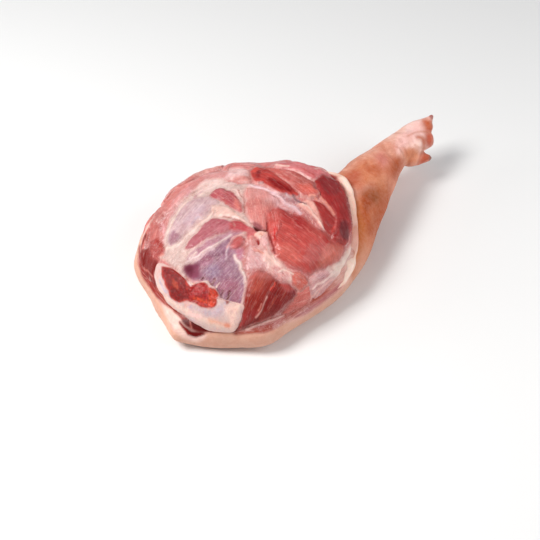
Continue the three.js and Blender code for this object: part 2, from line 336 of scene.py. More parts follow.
def move_points(piece: Object, places: Array) -> None:
    """Puts a piece's points at new places, given in millimetres."""
    piece.data.vertices.foreach_set("co", (places * MM).astype(np.float32).ravel())
    piece.data.update()


def paint(piece: Object, **layers: Array) -> None:
    """Stores values at a piece's points: three in a row as a colour or vector, and one as a number.

    Args:
        piece: the piece to paint.
        layers: values by name; the layer called grain is a vector and other rows of three are colours.
    """
    for name, values in layers.items():
        values = np.asarray(values, dtype=np.float32)
        kind, key = ("FLOAT", "value") if values.ndim == 1 else ("FLOAT_VECTOR", "vector")
        if values.ndim == 2 and name != "grain":
            kind, key = "FLOAT_COLOR", "color"
            values = np.column_stack([values, np.ones(len(values), dtype=np.float32)])
        piece.data.attributes.new(name, kind, "POINT").data.foreach_set(key, values.ravel())


def apply_modifiers(piece: Object) -> None:
    """Makes a piece's modifiers part of its mesh."""
    graph = bpy.context.evaluated_depsgraph_get()
    finished = bpy.data.meshes.new_from_object(piece.evaluated_get(graph))
    piece.modifiers.clear()
    old = piece.data
    piece.data = finished
    bpy.data.meshes.remove(old)
    finished.name = piece.name
    finished.shade_smooth()


def place_piece(piece: Object, slot: Slot, *nodes: str) -> None:
    """Ties a piece to the body, hides the imported parts of the nodes that it stands for, and reports it."""
    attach(piece, BODY)
    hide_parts(*nodes)
    low = np.array([corner[:] for corner in piece.bound_box]).min(axis=0)
    high = np.array([corner[:] for corner in piece.bound_box]).max(axis=0)
    size = ", ".join(f"{value:.0f}" for value in (high - low) / MM)
    log.info("%s: %d faces, %s mm", piece.name, len(piece.data.polygons), size)


# Shader nodes


@dataclass
class Graph:
    """A node tree with short calls for adding and joining its nodes."""

    tree: Tree

    def add(self, kind: str, inputs: dict | None = None, **settings: object) -> Node:
        """Adds a node.

        Args:
            kind: the node's type.
            inputs: values or sockets by the name or number of the input that they feed.
            settings: the node's own properties.

        Returns:
            The new node.
        """
        node = self.tree.nodes.new(kind)
        for name, value in settings.items():
            setattr(node, name, value)
        for key, value in (inputs or {}).items():
            if isinstance(value, Socket):
                self.tree.links.new(value, node.inputs[key])
            else:
                node.inputs[key].default_value = value
        return node

    def math(self, operation: str, first: object, second: object = 0.0) -> Socket:
        """Result of an operation on one or two numbers."""
        return self.add("ShaderNodeMath", {0: first, 1: second}, operation=operation).outputs[0]

    def fit(self, value: object, low: float, high: float, to_low: float, to_high: float) -> Socket:
        """Value carried smoothly from one range to another and held at its ends."""
        inputs = {"Value": value, "From Min": low, "From Max": high, "To Min": to_low, "To Max": to_high}
        return self.add("ShaderNodeMapRange", inputs, interpolation_type="SMOOTHSTEP").outputs[0]

    def mix(self, share: object, first: object, second: object, how: str = "MIX") -> Socket:
        """Colour between two colours."""
        node = self.add("ShaderNodeMix", data_type="RGBA", blend_type=how, clamp_factor=True)
        for index, value in ((0, share), (6, first), (7, second)):
            if isinstance(value, Socket):
                self.tree.links.new(value, node.inputs[index])
            else:
                node.inputs[index].default_value = value if index == 0 else (*value, 1.0)
        return node.outputs[2]

    def layer(self, name: str, output: str = "Fac") -> Socket:
        """Values painted on the piece."""
        return self.add("ShaderNodeAttribute", attribute_name=name).outputs[output]

    def noise(self, vector: object, scale: object, detail: float, rough: float, twist: float) -> Socket:
        """Noise from about 0.2 to 0.8 at a vector."""
        inputs = {"Vector": vector, "Scale": scale, "Detail": detail, "Roughness": rough, "Distortion": twist}
        return self.add("ShaderNodeTexNoise", inputs).outputs["Fac"]

    def join(self, socket: Socket, node: Node, title: str) -> None:
        """Feeds a node's input from a socket."""
        self.tree.links.new(socket, node.inputs[title])

    def bump(self, shader: Node, height: Socket, strength: float, distance: float) -> None:
        """Gives a shader the fine relief of a height, with its distance in millimetres."""
        inputs = {"Height": height, "Strength": strength, "Distance": distance * MM}
        self.join(self.add("ShaderNodeBump", inputs).outputs[0], shader, "Normal")

    def roughen(self, shader: Node, value: Socket, low: float, high: float) -> None:
        """Makes a shader's roughness swing between two limits with a value from 0 to 1."""
        self.join(self.fit(value, 0.0, 1.0, low, high), shader, "Roughness")

    def product(self, first: object, second: object) -> Socket:
        """Product of two numbers."""
        return self.math("MULTIPLY", first, second)

    def millimetres(self) -> Socket:
        """Object coordinates in millimetres."""
        place = self.add("ShaderNodeTexCoord").outputs["Object"]
        return self.add("ShaderNodeVectorMath", {0: place, 3: 1.0 / MM}, operation="SCALE").outputs[0]


def shader_group(name: str, inputs: dict[str, object], outputs: tuple[str, ...]) -> tuple:
    """Starts a node group with named inputs and outputs, all numbers but the inputs called Vector.

    Args:
        name: the group's name.
        inputs: default value of each input by name.
        outputs: names of the outputs.

    Returns:
        The group, its graph, its input node and its output node.
    """
    group = bpy.data.node_groups.new(name, "ShaderNodeTree")
    for title, value in inputs.items():
        kind = "NodeSocketVector" if title == "Vector" else "NodeSocketFloat"
        socket = group.interface.new_socket(title, in_out="INPUT", socket_type=kind)
        if title != "Vector":
            socket.default_value = value
    for title in outputs:
        group.interface.new_socket(title, in_out="OUTPUT", socket_type="NodeSocketFloat")
    graph = Graph(group)
    return group, graph, graph.add("NodeGroupInput"), graph.add("NodeGroupOutput")


def fibre_group() -> Tree:
    """Streaks and pale threads that run along the first coordinate of a vector in millimetres."""
    inputs = {"Vector": None, "Length": 30.0, "Width": 1.4}
    group, graph, start, end = shader_group("fibre_streaks", inputs, ("Streak", "Thread", "Ripple"))

    def stretched(longer: float, wider: float, detail: float, twist: float) -> Socket:
        """Noise stretched along the fibres."""
        along = graph.math("DIVIDE", 1.0 / longer, start.outputs["Length"])
        across = graph.math("DIVIDE", 1.0 / wider, start.outputs["Width"])
        scale = graph.add("ShaderNodeCombineXYZ", {0: along, 1: across, 2: 1.0}).outputs[0]
        factors = {0: start.outputs["Vector"], 1: scale}
        vector = graph.add("ShaderNodeVectorMath", factors, operation="MULTIPLY").outputs[0]
        return graph.noise(vector, 1.0, detail, 0.6, twist)

    streak = stretched(1.0, 1.6, 3.0, 0.3)
    ridge = graph.math("ABSOLUTE", graph.math("SUBTRACT", stretched(1.3, 3.2, 1.5, 0.5), 0.5))
    graph.join(graph.fit(streak, 0.28, 0.72, 0.0, 1.0), end, "Streak")
    graph.join(graph.fit(ridge, 0.0, 0.035, 1.0, 0.0), end, "Thread")
    graph.join(stretched(0.8, 0.8, 2.0, 0.2), end, "Ripple")
    return group


def mottle_group() -> Tree:
    """Cloudy patches, fine specks and a web of thin lines at a vector in millimetres."""
    inputs = {"Vector": None, "Size": 12.0, "Speck": 1.5}
    group, graph, start, end = shader_group("flesh_mottle", inputs, ("Cloud", "Speck", "Web"))
    vector, size, fine = (start.outputs[title] for title in inputs)
    cloud = graph.noise(vector, graph.math("DIVIDE", 1.0, size), 4.0, 0.6, 0.6)
    speck = graph.noise(vector, graph.math("DIVIDE", 1.0, fine), 2.0, 0.6, 0.0)
    tangle = graph.noise(vector, graph.math("DIVIDE", 0.8, size), 3.0, 0.55, 1.4)
    ridge = graph.math("ABSOLUTE", graph.math("SUBTRACT", tangle, 0.5))
    graph.join(graph.fit(cloud, 0.3, 0.7, 0.0, 1.0), end, "Cloud")
    graph.join(graph.fit(speck, 0.3, 0.7, 0.0, 1.0), end, "Speck")
    graph.join(graph.fit(ridge, 0.0, 0.022, 1.0, 0.0), end, "Web")
    return group


class Effects:
    """The shader groups that several finishes share, built once."""

    def __init__(self) -> None:
        """Builds the groups."""
        self.fibres = fibre_group()
        self.mottle = mottle_group()

    def put(self, graph: Graph, group: Tree, **inputs: object) -> Node:
        """Places a group in a material with its own values."""
        node = graph.add("ShaderNodeGroup", node_tree=group)
        for title, value in inputs.items():
            if isinstance(value, Socket):
                graph.join(value, node, title)
            else:
                node.inputs[title].default_value = value
        return node


@dataclass(frozen=True)
class Wetness:
    """How a raw surface shines and lets light in."""

    rough: float = 0.46
    coat: float = 0.4
    coat_rough: float = 0.22
    under: float = 0.1
    specular: float = 0.1


def start_material(name: str, wet: Wetness) -> tuple[Material, Graph, Node]:
    """New material with a Principled shader set to a wetness.

    Args:
        name: the material's name.
        wet: its shine and depth.

    Returns:
        The material, its graph and its shader.
    """
    material = bpy.data.materials.new(name)
    material.use_nodes = True
    material.node_tree.nodes.clear()
    graph = Graph(material.node_tree)
    inputs = {
        "Roughness": wet.rough,
        "Coat Weight": wet.coat,
        "Coat Roughness": wet.coat_rough,
        "Specular IOR Level": wet.specular,
        "Subsurface Weight": wet.under,
        "Subsurface Radius": (1.0, 0.35, 0.2),
        "Subsurface Scale": 4.0 * MM,
    }
    shader = graph.add("ShaderNodeBsdfPrincipled", inputs)
    output = graph.add("ShaderNodeOutputMaterial")
    graph.join(shader.outputs[0], output, "Surface")
    return material, graph, shader


@dataclass(frozen=True)
class Flesh:
    """Raw muscle: painted colour with fibre streaks, clouds, pale threads and a silvery film."""

    film: Colour = srgb(0xDABABC)
    thread: Colour = srgb(0xF6D6CE)
    length: float = 34.0
    width: float = 0.7
    streaks: float = 0.45
    clouds: float = 0.5
    threads: float = 0.5
    white: Colour = srgb(0xF8E6E2)
    webs: float = 1.1

    def colour(self, graph: Graph, effects: Effects, tint: Socket) -> tuple:
        """Colour and height of flesh, which reads the layers grain, streak, thread and veil.

        Args:
            graph: the material's graph.
            effects: the shared groups.
            tint: the painted colour.

        Returns:
            Sockets with the colour and with the height for a bump.
        """
        fibres = effects.put(graph, effects.fibres, Vector=graph.layer("grain", "Vector"), Length=self.length,
                             Width=self.width)
        mottle = effects.put(graph, effects.mottle, Vector=graph.millimetres(), Size=9.0, Speck=1.1)
        streak = fibres.outputs["Streak"]
        cloud = mottle.outputs["Cloud"]
        darker = graph.mix(1.0, tint, srgb(0xD6B0B0), "MULTIPLY")
        clouded = graph.mix(graph.product(cloud, self.clouds), tint, darker)
        swing = graph.product(graph.math("SUBTRACT", streak, 0.5), graph.layer("streak"))
        factor = graph.math("ADD", graph.product(swing, self.streaks), 1.0)
        streaked = graph.add("ShaderNodeVectorMath", {0: clouded, 3: factor}, operation="SCALE").outputs[0]
        threads = graph.product(fibres.outputs["Thread"], graph.layer("thread"))
        threaded = graph.mix(graph.product(threads, self.threads), streaked, self.thread)
        film = graph.product(graph.fit(cloud, 0.0, 1.0, 0.9, 0.25), graph.layer("veil"))
        film = graph.product(film, graph.fit(streak, 0.0, 1.0, 0.55, 1.0))
        height = graph.math("ADD", fibres.outputs["Ripple"], graph.product(mottle.outputs["Speck"], 0.1))
        web = graph.product(mottle.outputs["Web"], graph.layer("veil"))
        height = graph.math("ADD", height, graph.product(web, 0.8))
        filmed = graph.mix(film, threaded, self.film)
        return graph.mix(graph.product(web, self.webs), filmed, self.white), height


@dataclass(frozen=True)
class MeatFinish:
    """Bare raw flesh with a wet coat."""

    name: str
    wet: Wetness = Wetness()
    flesh: Flesh = Flesh()

    def material(self, effects: Effects) -> Material:
        """Builds the material, which reads the layers tint and gloss and those of the flesh.

        Args:
            effects: the shared groups.

        Returns:
            The material.
        """
        material, graph, shader = start_material(self.name, self.wet)
        colour, height = self.flesh.colour(graph, effects, graph.layer("tint", "Color"))
        graph.join(colour, shader, "Base Color")
        mottle = effects.put(graph, effects.mottle, Vector=graph.millimetres(), Size=5.0, Speck=1.6)
        graph.roughen(shader, mottle.outputs["Speck"], self.wet.rough - 0.1, self.wet.rough + 0.1)
        coat = graph.product(graph.layer("gloss"), self.wet.coat)
        graph.join(coat, shader, "Coat Weight")
        height = graph.math("ADD", height, mottle.outputs["Cloud"])
        graph.bump(shader, height, 0.42, 0.8)
        return material


@dataclass(frozen=True)
class SkinFinish:
    """Scalded skin with blotches, pores and fine creases, and raw flesh where the layer cut is 1."""

    name: str
    wet: Wetness = Wetness(rough=0.48, coat=0.1, coat_rough=0.24, under=0.1, specular=0.14)
    flush: Colour = srgb(0xB8522A)
    pale: Colour = srgb(0xF4CEBA)
    speck: Colour = srgb(0x965438)
    flesh: Flesh = Flesh()

    def material(self, effects: Effects) -> Material:
        """Builds the material, which reads the layers tint, flush and cut and those of the flesh.

        Args:
            effects: the shared groups.

        Returns:
            The material.
        """
        material, graph, shader = start_material(self.name, self.wet)
        place = graph.millimetres()
        blotch = effects.put(graph, effects.mottle, Vector=place, Size=16.0, Speck=2.4)
        grain = effects.put(graph, effects.mottle, Vector=place, Size=5.0, Speck=0.8)
        tint = graph.layer("tint", "Color")
        cut = graph.layer("cut")
        flushed = graph.mix(graph.product(blotch.outputs["Cloud"], graph.layer("flush")), tint, self.flush)
        paled = graph.mix(graph.product(grain.outputs["Cloud"], 0.1), flushed, self.pale)
        skin = graph.mix(graph.fit(grain.outputs["Speck"], 0.55, 1.0, 0.0, 0.16), paled, self.speck)
        flesh, ripple = self.flesh.colour(graph, effects, tint)
        graph.join(graph.mix(cut, skin, flesh), shader, "Base Color")
        graph.roughen(shader, blotch.outputs["Speck"], self.wet.rough - 0.08, self.wet.rough + 0.12)
        inputs = {"Vector": place, "Scale": 0.55}
        crease = graph.add("ShaderNodeTexVoronoi", inputs, feature="DISTANCE_TO_EDGE")
        pores = graph.fit(crease.outputs["Distance"], 0.0, 0.25, 0.0, 0.6)
        height = graph.math("ADD", pores, graph.product(grain.outputs["Speck"], 0.4))
        height = graph.add("ShaderNodeMix", {0: cut, 2: height, 3: ripple}, data_type="FLOAT").outputs[0]
        graph.bump(shader, height, 0.22, 0.6)
        return material


@dataclass(frozen=True)
class FatFinish:
    """Fat, gristle and bone: painted colour with soft lumps and a wet gloss, left plain where raw is 1."""

    name: str
    wet: Wetness = Wetness(rough=0.42, coat=0.4, coat_rough=0.16, under=0.18, specular=0.25)
    warm: Colour = srgb(0xECAA92)
    share: float = 0.3
    lump: float = 7.0
    glint_fleck: float = 0.16
    vein: Colour = srgb(0xCE8C8E)
    veins: float = 0.0

    def material(self, effects: Effects) -> Material:
        """Builds the material, which reads the layers tint and raw.

        Args:
            effects: the shared groups.

        Returns:
            The material.
        """
        material, graph, shader = start_material(self.name, self.wet)
        mottle = effects.put(graph, effects.mottle, Vector=graph.millimetres(), Size=self.lump, Speck=1.3)
        plain = graph.math("SUBTRACT", 1.0, graph.layer("raw"))
        share = graph.product(graph.product(mottle.outputs["Cloud"], self.share), plain)
        colour = graph.mix(share, graph.layer("tint", "Color"), self.warm)
        # White flecks on the raised specks of the bump: partly pale flecks and partly painted glints.
        glint_fleck = graph.product(graph.fit(mottle.outputs["Speck"], 0.6, 1.0, 0.0, self.glint_fleck), plain)
        colour = graph.mix(glint_fleck, colour, srgb(0xFFF2EC))
        veins = graph.product(graph.product(mottle.outputs["Web"], self.veins), plain)
        colour = graph.mix(veins, colour, self.vein)
        graph.join(colour, shader, "Base Color")
        graph.roughen(shader, mottle.outputs["Speck"], self.wet.rough - 0.08, self.wet.rough + 0.12)
        coat = graph.fit(graph.layer("raw"), 0.0, 1.0, self.wet.coat, 0.2 * self.wet.coat)
        graph.join(coat, shader, "Coat Weight")
        graph.bump(shader, mottle.outputs["Speck"], 0.3, 0.6)
        return material


# The dome of the cut face


@dataclass(frozen=True)
class Dome:
    """Low dome that the cut face follows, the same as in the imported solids.

    At a turn t from the top the outline's radius R gives a place R sin t from the middle, and the height
    falls from the top to the rim as cos t to the power fullness. Face coordinates lay it flat: the distance
    from the middle is R sin t + wall (1 - cos t).
    """

    middle: Point2 = (12.0, 4.0)
    radii: tuple[float, ...] = (152, 143, 134, 140, 145, 144, 143, 143, 130, 119, 126, 141)
    rims: tuple[float, ...] = (68, 61, 54, 56, 54, 44, 36, 26, 26, 32, 42, 56)
    top: float = 118.0
    tilt: Point2 = (0.1, 0.02)
    fullness: float = 0.72
    wall: float = 60.0
    undercut: float = 46.0
    last_turn: float = math.pi / 2 + 0.36
    fade: float = 0.6

    def polar(self, places: Array) -> tuple[Array, Array, Array]:
        """Angle, outline radius and turn of face coordinates."""
        offset = places - np.array(self.middle)
        angle = np.arctan2(offset[:, 1], offset[:, 0])
        radius = waves(self.radii, angle)
        slant = np.hypot(radius, self.wall)
        reach = np.clip((np.hypot(offset[:, 0], offset[:, 1]) - self.wall) / slant, -1.0, 1.0)
        return angle, radius, np.arctan2(self.wall, radius) + np.arcsin(reach)

    def shown(self, places: Array) -> Array:
        """Share of the relief that shows, fading out where the meat curls under its rim."""
        return np.clip((self.last_turn - self.polar(places)[2]) / self.fade, 0.0, 1.0)

    def put(self, places: Array, lift: Array | float) -> Array:
        """Points at a lift above the smooth dome, in millimetres.

        Args:
            places: face coordinates.
            lift: height along the dome's normal.

        Returns:
            Points in the part's frame.
        """
        angle, radius, turn = self.polar(places)
        sine = np.sin(turn)
        cosine = np.cos(turn)
        away = heading(angle)
        flat = away * (radius * sine)[:, None]
        rim = waves(self.rims, angle)
        top = self.top + flat @ np.array(self.tilt)
        over = rim + (top - rim) * np.clip(cosine, 0.0, 1.0) ** self.fullness
        height = np.where(cosine > 0.0, over, rim + self.undercut * cosine)
        outward = self.wall * sine
        upward = radius * cosine
        scale = lift / np.hypot(outward, upward)
        spot = np.array(self.middle) + flat + away * (outward * scale)[:, None]
        return np.column_stack([spot, height + upward * scale])

    def edge_distance(self, angle: Array) -> Array:
        """Distance from the middle, in face coordinates, at which the meat ends under its rim."""
        radius = waves(self.radii, angle)
        return radius * math.sin(self.last_turn) + self.wall * (1.0 - math.cos(self.last_turn))


FACE = Dome()


@dataclass(frozen=True)
class Sight:
    """The photograph's view: pixels of its square frame from points of the part, and the other way round."""

    azimuth: float = -40.0
    elevation: float = 47.0
    distance: float = 1400.0
    lens: float = 70.0
    sensor: float = 36.0
    aim: Point3 = (0.0, 0.0, 60.0)
    aim_pixel: Point2 = (247.0, 250.0)
    edge_on: float = -0.02

    @property
    def focal(self) -> float:
        """Focal length in pixels."""
        return self.lens / self.sensor * IMAGE_SIDE

    @property
    def scale(self) -> float:
        """Pixels for a millimetre at the aim point."""
        return self.focal / self.distance

    def axes(self) -> Array:
        """Rows with the directions to the right, up and ahead of the camera."""
        turn = math.radians(self.azimuth)
        rise = math.radians(self.elevation)
        ahead = np.array([-math.sin(turn) * math.cos(rise), math.cos(turn) * math.cos(rise), -math.sin(rise)])
        right = np.array([math.cos(turn), math.sin(turn), 0.0])
        return np.array([right, np.cross(right, ahead), ahead])

    def place(self) -> Array:
        """Camera's place, from which the aim point is seen at its pixel."""
        across = (self.aim_pixel[0] - IMAGE_SIDE / 2) / self.focal
        down = (self.aim_pixel[1] - IMAGE_SIDE / 2) / self.focal
        ray = np.array([across, -down, 1.0]) @ self.axes()
        return np.array(self.aim) - ray / np.linalg.norm(ray) * self.distance

    def pixels(self, points: Array) -> Array:
        """Pixels at which points of the part are seen."""
        seen = (points - self.place()) @ self.axes().T
        half = IMAGE_SIDE / 2
        return np.column_stack([half + self.focal * seen[:, 0] / seen[:, 2],
                                half - self.focal * seen[:, 1] / seen[:, 2]])

    def to_face(self, pixels: Array, lift: float, step: float = 2.0, reach: float = 232.0) -> Array:
        """Face coordinates of the spots of the dome that are seen at pixels.

        The nearest of a grid of spots that face the camera is taken, and its slope carries it the rest.
        A spot faces the camera where the area that it covers in the photograph is below edge_on.

        Args:
            pixels: places in the photograph.
            lift: height over the dome at which they lie.
            step: distance between the spots of the grid.
            reach: half width of the grid.

        Returns:
            One row of face coordinates for each pixel.
        """
        line = np.arange(-reach, reach, step)
        grid = np.stack(np.meshgrid(line, line, indexing="xy"), axis=-1)
        seen = self.pixels(FACE.put(grid.reshape(-1, 2), lift)).reshape(grid.shape)
        down, along = np.gradient(seen, step, axis=(0, 1))
        facing = along[..., 0] * down[..., 1] - along[..., 1] * down[..., 0] < self.edge_on
        found = []
        for pixel in np.asarray(pixels, dtype=float):
            off = np.where(facing, ((seen - pixel) ** 2).sum(axis=-1), np.inf)
            spot = np.unravel_index(np.argmin(off), off.shape)
            slope = np.column_stack([along[spot], down[spot]])
            rest = np.linalg.solve(slope, pixel - seen[spot])
            found.append(grid[spot] + np.clip(rest, -step, step))
        return np.array(found)


SIGHT = Sight()


class Tissue(Enum):
    """Kinds of tissue: how strong their fibre streaks, pale threads, silvery film and wet gloss are."""

    LEAN = (0.6, 0.2, 0.0, 1.0)
    SILVERED = (0.45, 0.4, 0.1, 0.9)
    FILM = (0.45, 0.7, 0.3, 0.7)
    MEMBRANE = (0.35, 0.5, 0.15, 0.3)
    FAT = (0.2, 0.5, 0.3, 0.8)
    DULL = (0.6, 0.2, 0.0, 0.35)
    GAP = (0.1, 0.0, 0.0, 0.0)


LEAN, SILVERED, FILM, MEMBRANE, FAT, DULL, GAP = Tissue


class Space(Enum):
    """Where an outline's points are given: in pixels of the photograph, or in face coordinates where it
    shows nothing."""

    PHOTO = "photo"
    FACE = "face"


@dataclass(frozen=True)
class Bulge:
    """A place where the side of the joint stands out or in: its middle, reach and height in millimetres."""

    at: Point3
    reach: float
    out: float


BULGES = (
    Bulge((-60, 131, 70), 16, -4.5),
    Bulge((-118, 90, 40), 22, 5.0),
    Bulge((-138, 50, 24), 22, -6.0),
    Bulge((-143, 12, 28), 24, -4.0),
    Bulge((-152, -36, 22), 15, 2.0),
    Bulge((-98, -96, 20), 30, -4.5),
    Bulge((-10, -121, 34), 24, -2.5),
    Bulge((90, -112, 40), 22, -2.5),
    Bulge((190, -44, 60), 24, 2.5),
    Bulge((100, 80, 102), 15, -10.0),
    Bulge((121, 36, 118), 15, 3.0),
    Bulge((135, 13, 117), 16, 3.2),
    Bulge((60, 104, 104), 12, 3.0),
    Bulge((-4, 136, 92), 18, -3.0),
    Bulge((-46, 136, 82), 22, -6.0),
)


def bulged(places: Array) -> Array:
    """How far the bulges push out places in millimetres: each falls off as a bell round its middle."""
    total = np.zeros(len(places))
    for bulge in BULGES:
        total += bulge.out * np.exp(-((places - np.array(bulge.at)) ** 2).sum(axis=1) / bulge.reach**2)
    return total


@dataclass(frozen=True)
class Patch:
    """A muscle, a piece of film or a fat line of the cut face, or a shadow or highlight painted on it.

    The outline is the text of x,y pairs. It is closed unless a half width is given: then it is a
    line of that half width. Swell is how far it stands out, edge the distance over which it rounds off, and
    soft the half width of its colour's edge, all in millimetres. Step is the share of a high swell that
    rises at once at its edge. Grain is the way that its fibres run, in degrees from the right in the
    outline's space. The tissue stays as it was where it is None.
    """

    name: str
    outline: str
    colour: int
    swell: float = 0.0
    edge: float = 9.0
    soft: float = 2.0
    grain: float | None = None
    tissue: Tissue | None = None
    half: float = 0.0
    cover: float = 1.0
    step: float = 0.5
    lift: float = 3.0
    space: Space = Space.PHOTO

    def line(self) -> Array:
        """Dense line of the outline in face coordinates."""
        points = path(self.outline)
        if self.space is Space.PHOTO:
            points = SIGHT.to_face(points, max(self.swell, self.lift))
        return smooth_line(points, self.half == 0.0)

    def distance(self, places: Array) -> Array:
        """Distance of places to the patch's edge, below 0 inside."""
        return line_distance(places, self.line(), self.half == 0.0) - self.half

    def fibre_angle(self) -> float | None:
        """Way of the fibres in face coordinates, in degrees, found at the outline's middle."""
        if self.grain is None or self.space is Space.FACE:
            return self.grain
        middle = np.mean(path(self.outline), axis=0)
        turn = math.radians(self.grain)
        ends = np.array([middle, middle + 3.0 * np.array([math.cos(turn), -math.sin(turn)])])
        step = np.diff(SIGHT.to_face(ends, self.lift), axis=0)[0]
        return math.degrees(math.atan2(step[1], step[0]))


def muscle(name: str, outline: str, colour: int, swell: float, edge: float, grain: float, tissue: Tissue,
           **form: object) -> Patch:
    """Patch with a swell whose fibres run one way."""
    return Patch(name, outline, colour, swell, edge, grain=grain, tissue=tissue, **form)


def stain(name: str, outline: str, colour: int, soft: float, cover: float = 1.0, **form: object) -> Patch:
    """Patch without relief, which changes the colour and where given the tissue."""
    return Patch(name, outline, colour, soft=soft, cover=cover, **form)


def thread(name: str, line: str, colour: int, half: float, swell: float = 0.0, edge: float = 9.0,
           soft: float = 2.0, **form: object) -> Patch:
    """Patch that follows a line at a half width."""
    return Patch(name, line, colour, swell, edge, soft, half=half, **form)


def strands(name: str, starts: str, run: Point2, colour: int, half: float = 0.5) -> tuple[Patch, ...]:
    """Fine lines that all run the same way, each from its own start.

    Args:
        name: what they are.
        starts: pixels at which they start, written as an outline is.
        run: pixels from the start of each to its end.
        colour: their display colour.
        half: half their width in millimetres.

    Returns:
        One patch for each line.
    """
    lines = [f"{x:g},{y:g} {x + run[0]:g},{y + run[1]:g}" for x, y in path(starts)]
    return tuple(Patch(f"{name} {k}", line, colour, 0.3, 2.0, 1.0, half=half, cover=0.5)
                 for k, line in enumerate(lines))
